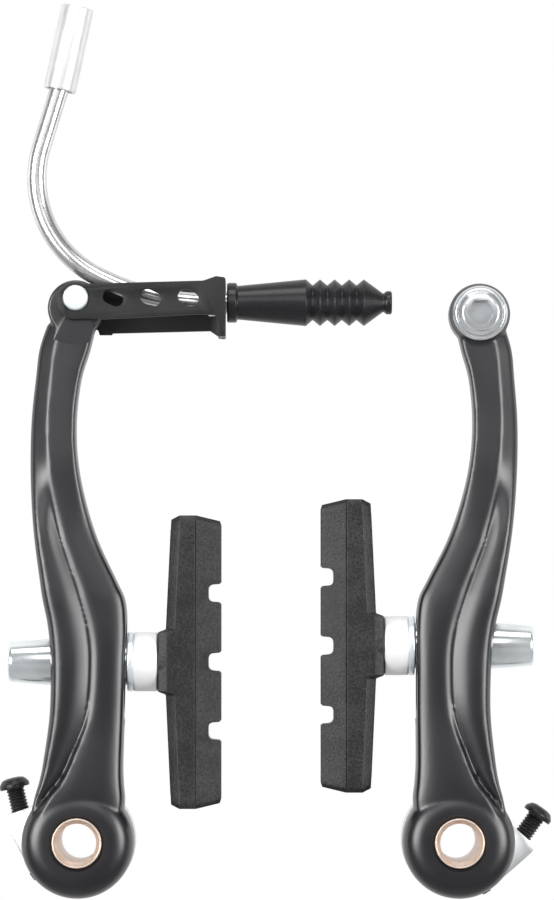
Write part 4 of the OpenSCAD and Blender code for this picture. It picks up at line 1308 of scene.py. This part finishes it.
@dataclass
class Linkage:
    """The link, its rivet, the noodle with its ends, and the boot; drawn from the rivet."""

    wall_x: float = 29.94
    link_len: float = 31.5
    tip_z: float = -0.693
    noodle_r: float = 2.05
    bore_r: float = 1.3
    slow_r: float = 50.2573
    slow_turn: float = 28.0
    bend_r: float = 23.2
    bend_turn: float = 79.0
    rise: float = 12.4
    last_turn: float = 4.8
    ferrule_len: float = 18.1
    ferrule_r: float = 3.45
    socket_r: float = 2.6
    nose_r: float = 2.3985
    rivet_r: float = 2.2
    rivet_head_r: float = 2.75
    link_out: float = 5.4
    boot_len: float = 34.8
    boot_r: float = 4.95

    def arc(self, centre: Point2, r: float, start: float, end: float, count: int) -> list[Vector]:
        """Points along a bend of the noodle, without its first."""
        return [Vector((centre[0] + r * math.cos(a), 0, centre[1] + r * math.sin(a)))
                for a in (math.radians(mix(start, end, i / count)) for i in range(1, count + 1))]

    def noodle_path(self) -> tuple[list[Vector], Point2, float]:
        """The noodle's centre line, its top end and the angle that it leans there."""
        slow_x = self.wall_x - self.noodle_r * 1.2
        slow_c = (slow_x, self.tip_z + self.slow_r)
        bend_a = 270 - self.slow_turn
        a = math.radians(bend_a)
        tight_c = (slow_c[0] + (self.slow_r - self.bend_r) * math.cos(a),
                   slow_c[1] + (self.slow_r - self.bend_r) * math.sin(a))
        rise_a = bend_a - self.bend_turn
        a = math.radians(rise_a)
        rise_at = (tight_c[0] + self.bend_r * math.cos(a), tight_c[1] + self.bend_r * math.sin(a))
        mouth = (rise_at[0] + self.rise * math.sin(a), rise_at[1] - self.rise * math.cos(a))
        last_r = self.noodle_r * 18
        last_c = (mouth[0] + last_r * math.cos(a), mouth[1] + last_r * math.sin(a))
        lean = 180 - rise_a - self.last_turn
        path = [Vector((self.wall_x, 0, self.tip_z)), Vector((slow_x, 0, self.tip_z)),
                *self.arc(slow_c, self.slow_r, 270, bend_a, 18), *self.arc(tight_c, self.bend_r, bend_a, rise_a, 44),
                Vector((mouth[0], 0, mouth[1])),
                *self.arc(last_c, last_r, rise_a + 180, rise_a + 180 + self.last_turn, 4)]
        land = (path[-1].x, path[-1].z)
        reach = self.ferrule_len * 0.2
        path.append(path[-1] + reach * Vector((math.sin(math.radians(lean)), 0, math.cos(math.radians(lean)))))
        return path, land, lean

    def noodle(self) -> list[Object]:
        """The bent tube, its ferrule and its crimped tip."""
        place = LAYOUT.on_link()
        path, land, lean = self.noodle_path()
        up = Vector((0, 1, 0))
        outer = swept_rings(path, self.noodle_r, 40, up)
        inner = swept_rings(path, self.bore_r, 40, up)
        tube = Bench.lofted("noodle_tube_bent", [*outer, *reversed(inner)], place, looped=True)
        steel = PolishedTube("noodle_steel").make()
        made = [mounted(tube, "noodle", "noodle_steel", steel, "noodle_tube", angle=40)]
        depth = self.noodle_r * 18 * math.sin(math.radians(self.last_turn))
        angle = math.radians(lean)
        base = Vector((land[0], 0, land[1])) - depth * Vector((math.sin(angle), 0, math.cos(angle)))
        seat = place @ Matrix.Translation(base) @ Matrix.Rotation(angle, 4, "Y")
        r, n = self.ferrule_r, self.ferrule_len
        step = depth + self.ferrule_len * 0.2
        profile = rounded([(0, 2.8, 0.2), (0, r, 0.45), (n, r, 0.5), (n, self.socket_r, 0.35), (step, self.socket_r),
                           (step, self.noodle_r), (depth, self.noodle_r), (depth, 2.8)], 5)
        ferrule = Bench.turned("noodle_ferrule_turned", profile, seat, Axis.Z, 128)
        alloy = SatinMetal("ferrule_alloy", (0.74, 0.74, 0.75), 0.34, 0.4, 0.001, metallic=0.5).make()
        made.append(mounted(ferrule, "noodle", "ferrule_alloy", alloy, "noodle_ferrule"))
        collar_r, collar = self.nose_r * 1.23, self.noodle_r
        nose = self.link_len - self.wall_x + self.noodle_r * 1.8
        at = place @ Matrix.Translation((self.wall_x - 0.1, 0, self.tip_z))
        profile = rounded([(-collar, self.noodle_r), (-collar, collar_r, 0.3), (0, collar_r, 0.1), (0, self.nose_r),
                           (nose * 0.7, self.nose_r, 0.3), (nose, self.nose_r * 0.8, 0.3), (nose, self.bore_r),
                           (0.1, self.bore_r), (0.1, self.noodle_r)], 3)
        tip = Bench.turned("noodle_tip_crimped", profile, at, Axis.X, 96)
        made.append(mounted(tip, "noodle", "noodle_steel", PolishedTube("noodle_tip_steel").make(), "noodle_tip"))
        return made

    def boot(self) -> Object:
        """The rubber boot with its bead, flare, folds and nozzle."""
        n, r = self.boot_len, self.boot_r
        fold_x, pitch, folds = n * 0.478, n * 0.0886, 4
        fold_end = fold_x + (folds + 0.25) * pitch
        outer: list[tuple[float, ...]] = [
            (0, r * 0.80, 0.3), (n * 0.008, r * 0.85, 0.35), (n * 0.056, r * 0.85, 0.4), (n * 0.064, r * 0.72, 0.25),
            (fold_x, r, 0.35)]
        for i in range(folds):
            outer += [(fold_x + (i + 0.44) * pitch, r * 0.755, 0.16), (fold_x + (i + 0.49) * pitch, r * 0.755, 0.16),
                      (fold_x + (i + 0.95) * pitch, r * 0.99, 0.22), (fold_x + (i + 0.99) * pitch, r * 0.99, 0.22)]
        outer += [(n * 0.948, r * 0.39, 0.25), (n * 0.964, r * 0.48, 0.2), (n * 0.970, r * 0.50, 0.3),
                  (n * 0.992, r * 0.50, 0.3), (n, r * 0.44, 0.2)]
        wall = 1.1
        grip = self.link_len - self.wall_x + self.noodle_r * 1.8 - (self.link_len + 0.3 - self.wall_x)
        inner = [(n, 0.9), (n * 0.93, 0.9), (fold_end, r * 0.75 - wall), (fold_x, r * 0.75 - wall),
                 (fold_x * 0.95, r * 0.95 - wall), (grip + 0.1, self.nose_r), (0, self.nose_r)]
        at = LAYOUT.on_link() @ Matrix.Translation((self.link_len + 0.3, 0, self.tip_z))
        obj = Bench.turned("cable_boot_moulded", rounded([*outer, *inner], 5), at, Axis.X, 112)
        finish = Rubber("boot_rubber", (0.009, 0.009, 0.0105), (0.013, 0.013, 0.015), 0.32, 0.6, 0.003).make()
        return mounted(obj, "noodle", "boot_rubber", finish, "cable_boot", angle=50)

    def link(self) -> Object:
        """The folded link with its three windows."""
        obj = Bench.softened("noodle_link", "noodle_link_pressed", 0.16)
        finish = SatinPaint("link_paint", (0.012, 0.012, 0.013), (0.016, 0.016, 0.017), 0.42, 0.32, 0.003).make()
        return mounted(obj, "link", "link_steel", finish)

    def rivet(self) -> Object:
        """The rivet that joins the link to the left arm."""
        r, out, dome = self.rivet_head_r, self.link_out + 0.1, self.rivet_head_r * 0.3
        profile = rounded([(-out - dome, 0), (-out - dome, r * 0.86, 0.5), (-out, r, 0.2), (-out, self.rivet_r),
                           (out, self.rivet_r), (out, r, 0.2), (out + dome, r * 0.86, 0.5), (out + dome, 0)], 5)
        place = LAYOUT.on_link()
        obj = Bench.turned("link_rivet_set", profile, place, Axis.Y, 96)
        at = place.translation / MM
        finish = TurnedMetal("rivet_zinc", (0.84, 0.91, 0.93), Axis.Y, (at.x, at.y, at.z), 0.3, 0.5, 0.001, 0.02,
                             metallic=0.35)
        return mounted(obj, "left_arm", "rivet_zinc", finish.make(), "link_rivet")

    def build(self) -> list[Object]:
        """Make the link, the rivet, the noodle's pieces and the boot."""
        dress(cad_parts["noodle_liner"], Plastic("liner_plastic").make())
        Bench.finished(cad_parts["noodle_liner"])
        return [self.link(), self.rivet(), *self.noodle(), self.boot()]


@dataclass(frozen=True)
class PolishedTube:
    """Bright steel tube, faintly drawn and brushed."""

    name: str
    colour: Colour = (0.70, 0.69, 0.69)

    def make(self) -> Material:
        """Build the material."""
        g = Graph(self.name)
        at = g.place()
        fine = g.noise(at, 0.35, 3.0, 0.6)
        cloud = g.noise(at, 3.0, 2.0)
        g.use({"Base Color": g.blend(cloud.ramp(0.3, 0.65), tuple(c * 0.86 for c in self.colour), self.colour),
               "Metallic": 0.85, "Roughness": fine * 0.08 + cloud * 0.06 + 0.16})
        g.bump(fine, 0.001)
        return g.material


@dataclass
class CableAnchor:
    """The cable bolt and its washer on the right arm's head; z runs out towards the front."""

    washer_r: float = 5.72
    washer_t: float = 1.5
    flange_r: float = 4.72
    head_r: float = 3.9
    head_h: float = 2.2
    key_af: float = 5.0

    def build(self) -> list[Object]:
        """Make the washer and the bolt."""
        lay = LAYOUT
        u, v = lay.bolt_uv
        place = (lay.on_arm(Side.RIGHT)
                 @ Matrix.Translation((u, lay.arm_mid - lay.head_depth / 2 - lay.bolt_boss_h, v))
                 @ Matrix.Rotation(math.radians(90), 4, "X"))
        at = place.translation / MM
        centre = (at.x, at.y, at.z)
        t, r = self.washer_t, self.washer_r
        profile = rounded([(0, lay.stud_r, 0.1), (0, r, 0.15), (t * 0.6, r, 0.25), (t, r - t * 0.4, 0.25),
                           (t, lay.stud_r, 0.1)], 4)
        washer = Bench.turned("anchor_washer_turned", profile, place, Axis.Z, 128)
        zinc = (0.86, 0.89, 0.91)
        made = [mounted(washer, "right_arm", "bolt_zinc",
                        TurnedMetal("anchor_washer_zinc", zinc, Axis.Y, centre, 0.20, 0.5, 0.001, 0.04,
                                     metallic=0.8).make(), "anchor_washer")]
        length, h = lay.head_depth + lay.bolt_boss_h + t, self.head_h
        profile = rounded([(-length + t, 0), (-length + t, lay.stud_r, 0.3), (t, lay.stud_r), (t, self.flange_r, 0.15),
                           (t + h * 0.25, self.flange_r, 0.2), (t + h * 0.5, self.head_r, 0.25),
                           (t + h, self.head_r, 0.35), (t + h, 0)], 4)
        bolt = Bench.turned("anchor_bolt_turned", profile, place, Axis.Z, 128)
        key = rod("key", self.key_af / 2 / math.cos(math.pi / 6), (t + h * 0.1, t + h + 1), (0, 0, 0), place, Axis.Z, 6)
        Bench.cut(bolt, [key])
        made.append(mounted(bolt, "right_arm", "bolt_zinc",
                            TurnedMetal("anchor_bolt_zinc", zinc, Axis.Y, centre, 0.18, 0.4, 0.001, 0.04,
                                        metallic=0.8).make(), "anchor_bolt"))
        return made


# The studio.


@dataclass
class Studio:
    """Pale floor, soft lights and the camera at the photograph's angle."""

    view_h: float = 190.1
    centre: Point2 = (1.83, 82.5)
    front_y: float = -23.5
    distance: float = 1000.0
    height: float = 45.0
    sharp_depth: float = 9.5
    room: tuple[Point2, ...] = ((0.0, 0.12), (0.10, 0.05), (0.42, 0.06), (0.56, 0.45), (0.75, 0.75), (1.0, 0.80))
    floor_z: float = -600.0
    fan: float = 110.0
    far_floor: Point2 = (0.10, 0.60)
    far_room: Point2 = (0.50, 0.62)

    def light(self, name: str, at: Sequence[float], size: Point2, watts: float) -> None:
        """Hang a softbox that faces the brake.

        Args:
            name: its name.
            at: its place in millimetres.
            size: its width and height in millimetres.
            watts: its power.
        """
        data = bpy.data.lights.new(name, "AREA")
        data.shape, data.size, data.size_y, data.energy = "RECTANGLE", size[0] * MM, size[1] * MM, watts
        data.spread = math.radians(self.fan)
        obj = bpy.data.objects.new(name, data)
        obj.location = Vector(at) * MM
        aim = Vector((0, -15 * MM, 70 * MM)) - obj.location
        obj.rotation_euler = aim.to_track_quat("-Z", "Y").to_euler()
        bpy.context.scene.collection.objects.link(obj)

    def shown(self, tree: bpy.types.NodeTree, depth: bpy.types.NodeSocket, far: Point2) -> bpy.types.NodeSocket:
        """How much of the white background a ray meets.

        Args:
            tree: the node tree it is worked out in.
            depth: how far back the ray meets the background.
            far: the depths where it begins to show in metal and glass, and where it shows in full.

        Returns:
            All of it for the camera, and its far part for glossy and transmitted rays.
        """
        path = tree.nodes.new("ShaderNodeLightPath")
        behind = tree.nodes.new("ShaderNodeMapRange")
        behind.inputs["From Min"].default_value, behind.inputs["From Max"].default_value = far
        bounced = tree.nodes.new("ShaderNodeMath")
        bounced.operation = "ADD"
        share = tree.nodes.new("ShaderNodeMath")
        share.operation, share.use_clamp = "MULTIPLY_ADD", True
        tree.links.new(depth, behind.inputs["Value"])
        tree.links.new(path.outputs["Is Glossy Ray"], bounced.inputs[0])
        tree.links.new(path.outputs["Is Transmission Ray"], bounced.inputs[1])
        tree.links.new(bounced.outputs[0], share.inputs[0])
        tree.links.new(behind.outputs[0], share.inputs[1])
        tree.links.new(path.outputs["Is Camera Ray"], share.inputs[2])
        return share.outputs[0]

    def floor(self) -> None:
        """A pale floor that takes the brake's shadow."""
        Bench.clear()
        bpy.ops.mesh.primitive_plane_add(size=6, location=(0, 0, self.floor_z * MM))
        floor = Bench.named(bpy.context.object, "floor")
        material = bpy.data.materials.new("pale_floor")
        material.use_nodes = True
        tree = material.node_tree
        shader = tree.nodes["Principled BSDF"]
        shader.inputs["Base Color"].default_value = (0.75, 0.75, 0.75, 1)
        shader.inputs["Roughness"].default_value = 0.9
        glow = tree.nodes.new("ShaderNodeEmission")
        glow.inputs["Strength"].default_value = 1.0
        blend = tree.nodes.new("ShaderNodeMixShader")
        where = tree.nodes.new("ShaderNodeTexCoord")
        split = tree.nodes.new("ShaderNodeSeparateXYZ")
        tree.links.new(where.outputs["Object"], split.inputs[0])
        away = tree.nodes.new("ShaderNodeVectorMath")
        away.operation = "LENGTH"
        share = tree.nodes.new("ShaderNodeMapRange")
        for key, value in {"From Min": 0.12, "From Max": 0.24, "To Min": 0.7, "To Max": 1.0}.items():
            share.inputs[key].default_value = value
        seen = tree.nodes.new("ShaderNodeMath")
        seen.operation = "MULTIPLY"
        tree.links.new(where.outputs["Object"], away.inputs[0])
        tree.links.new(away.outputs["Value"], share.inputs["Value"])
        tree.links.new(self.shown(tree, split.outputs["Y"], self.far_floor), seen.inputs[0])
        tree.links.new(share.outputs[0], seen.inputs[1])
        tree.links.new(seen.outputs[0], blend.inputs["Fac"])
        tree.links.new(shader.outputs[0], blend.inputs[1])
        tree.links.new(glow.outputs[0], blend.inputs[2])
        tree.links.new(blend.outputs[0], tree.nodes["Material Output"].inputs["Surface"])
        floor.data.materials.append(material)

    def world(self) -> None:
        """White where the camera or a reflection sees its far side; elsewhere a room that is dark in front."""
        world = bpy.data.worlds.new("studio")
        bpy.context.scene.world = world
        world.use_nodes = True
        tree = world.node_tree
        soft = tree.nodes["Background"]
        soft.inputs["Color"].default_value = (1, 1, 1, 1)
        where = tree.nodes.new("ShaderNodeTexCoord")
        parts = tree.nodes.new("ShaderNodeSeparateXYZ")
        ramp = tree.nodes.new("ShaderNodeValToRGB")
        stops = ramp.color_ramp.elements
        for element, (place, level) in zip([stops[0], stops[1], *(stops.new(0.5) for _ in range(4))], self.room):
            element.position, element.color = place, (level, level, level, 1)
        half = tree.nodes.new("ShaderNodeMath")
        half.operation = "MULTIPLY_ADD"
        half.inputs[1].default_value, half.inputs[2].default_value = 0.5, 0.5
        tree.links.new(where.outputs["Generated"], parts.inputs[0])
        tree.links.new(parts.outputs["Y"], half.inputs[0])
        tree.links.new(half.outputs[0], ramp.inputs[0])
        tree.links.new(ramp.outputs[0], soft.inputs["Strength"])
        white = tree.nodes.new("ShaderNodeBackground")
        white.inputs["Color"].default_value = (1, 1, 1, 1)
        white.inputs["Strength"].default_value = 1.0
        blend = tree.nodes.new("ShaderNodeMixShader")
        tree.links.new(self.shown(tree, half.outputs[0], self.far_room), blend.inputs["Fac"])
        tree.links.new(soft.outputs[0], blend.inputs[1])
        tree.links.new(white.outputs[0], blend.inputs[2])
        tree.links.new(blend.outputs[0], tree.nodes["World Output"].inputs["Surface"])

    def camera(self) -> None:
        """The camera, one metre off and below the picture's middle, aimed at it."""
        data = bpy.data.cameras.new("camera")
        data.sensor_width = 36
        obj = bpy.data.objects.new("camera", data)
        aim = Vector((self.centre[0], self.front_y + self.sharp_depth, self.centre[1]))
        eye = Vector((self.centre[0], self.front_y - self.distance, self.height))
        data.lens = 36 * (aim - eye).length / self.view_h
        obj.location = eye * MM
        obj.rotation_euler = (aim - eye).to_track_quat("-Z", "Y").to_euler()
        bpy.context.scene.collection.objects.link(obj)
        bpy.context.scene.camera = obj

    def build(self) -> None:
        """Set the floor, the world, the lights and the camera."""
        self.floor()
        self.world()
        self.light("left_box", (-480, -540, 130), (360, 400), 1.7)
        self.light("right_box", (520, -480, 110), (340, 380), 1.4)
        self.light("top", (0, -649, 340), (400, 260), 0.28)
        self.light("overhead", (0, -260, 560), (520, 240), 0.60)
        self.light("rim_left", (-600, 160, 120), (200, 420), 0.1)
        self.light("rim_right", (600, 160, 120), (200, 420), 0.1)
        self.camera()
        scene = bpy.context.scene
        scene.view_settings.view_transform = "Standard"


def main() -> None:
    """Build the brake piece by piece, then the studio."""
    logging.basicConfig(level=logging.INFO, format="%(name)s: %(message)s")
    for side in Side:
        Forging(side).build()
        Pivot(side).build()
        PadSet(side).build()
    Linkage().build()
    CableAnchor().build()
    Studio().build()


if __name__ == "__main__":
    main()
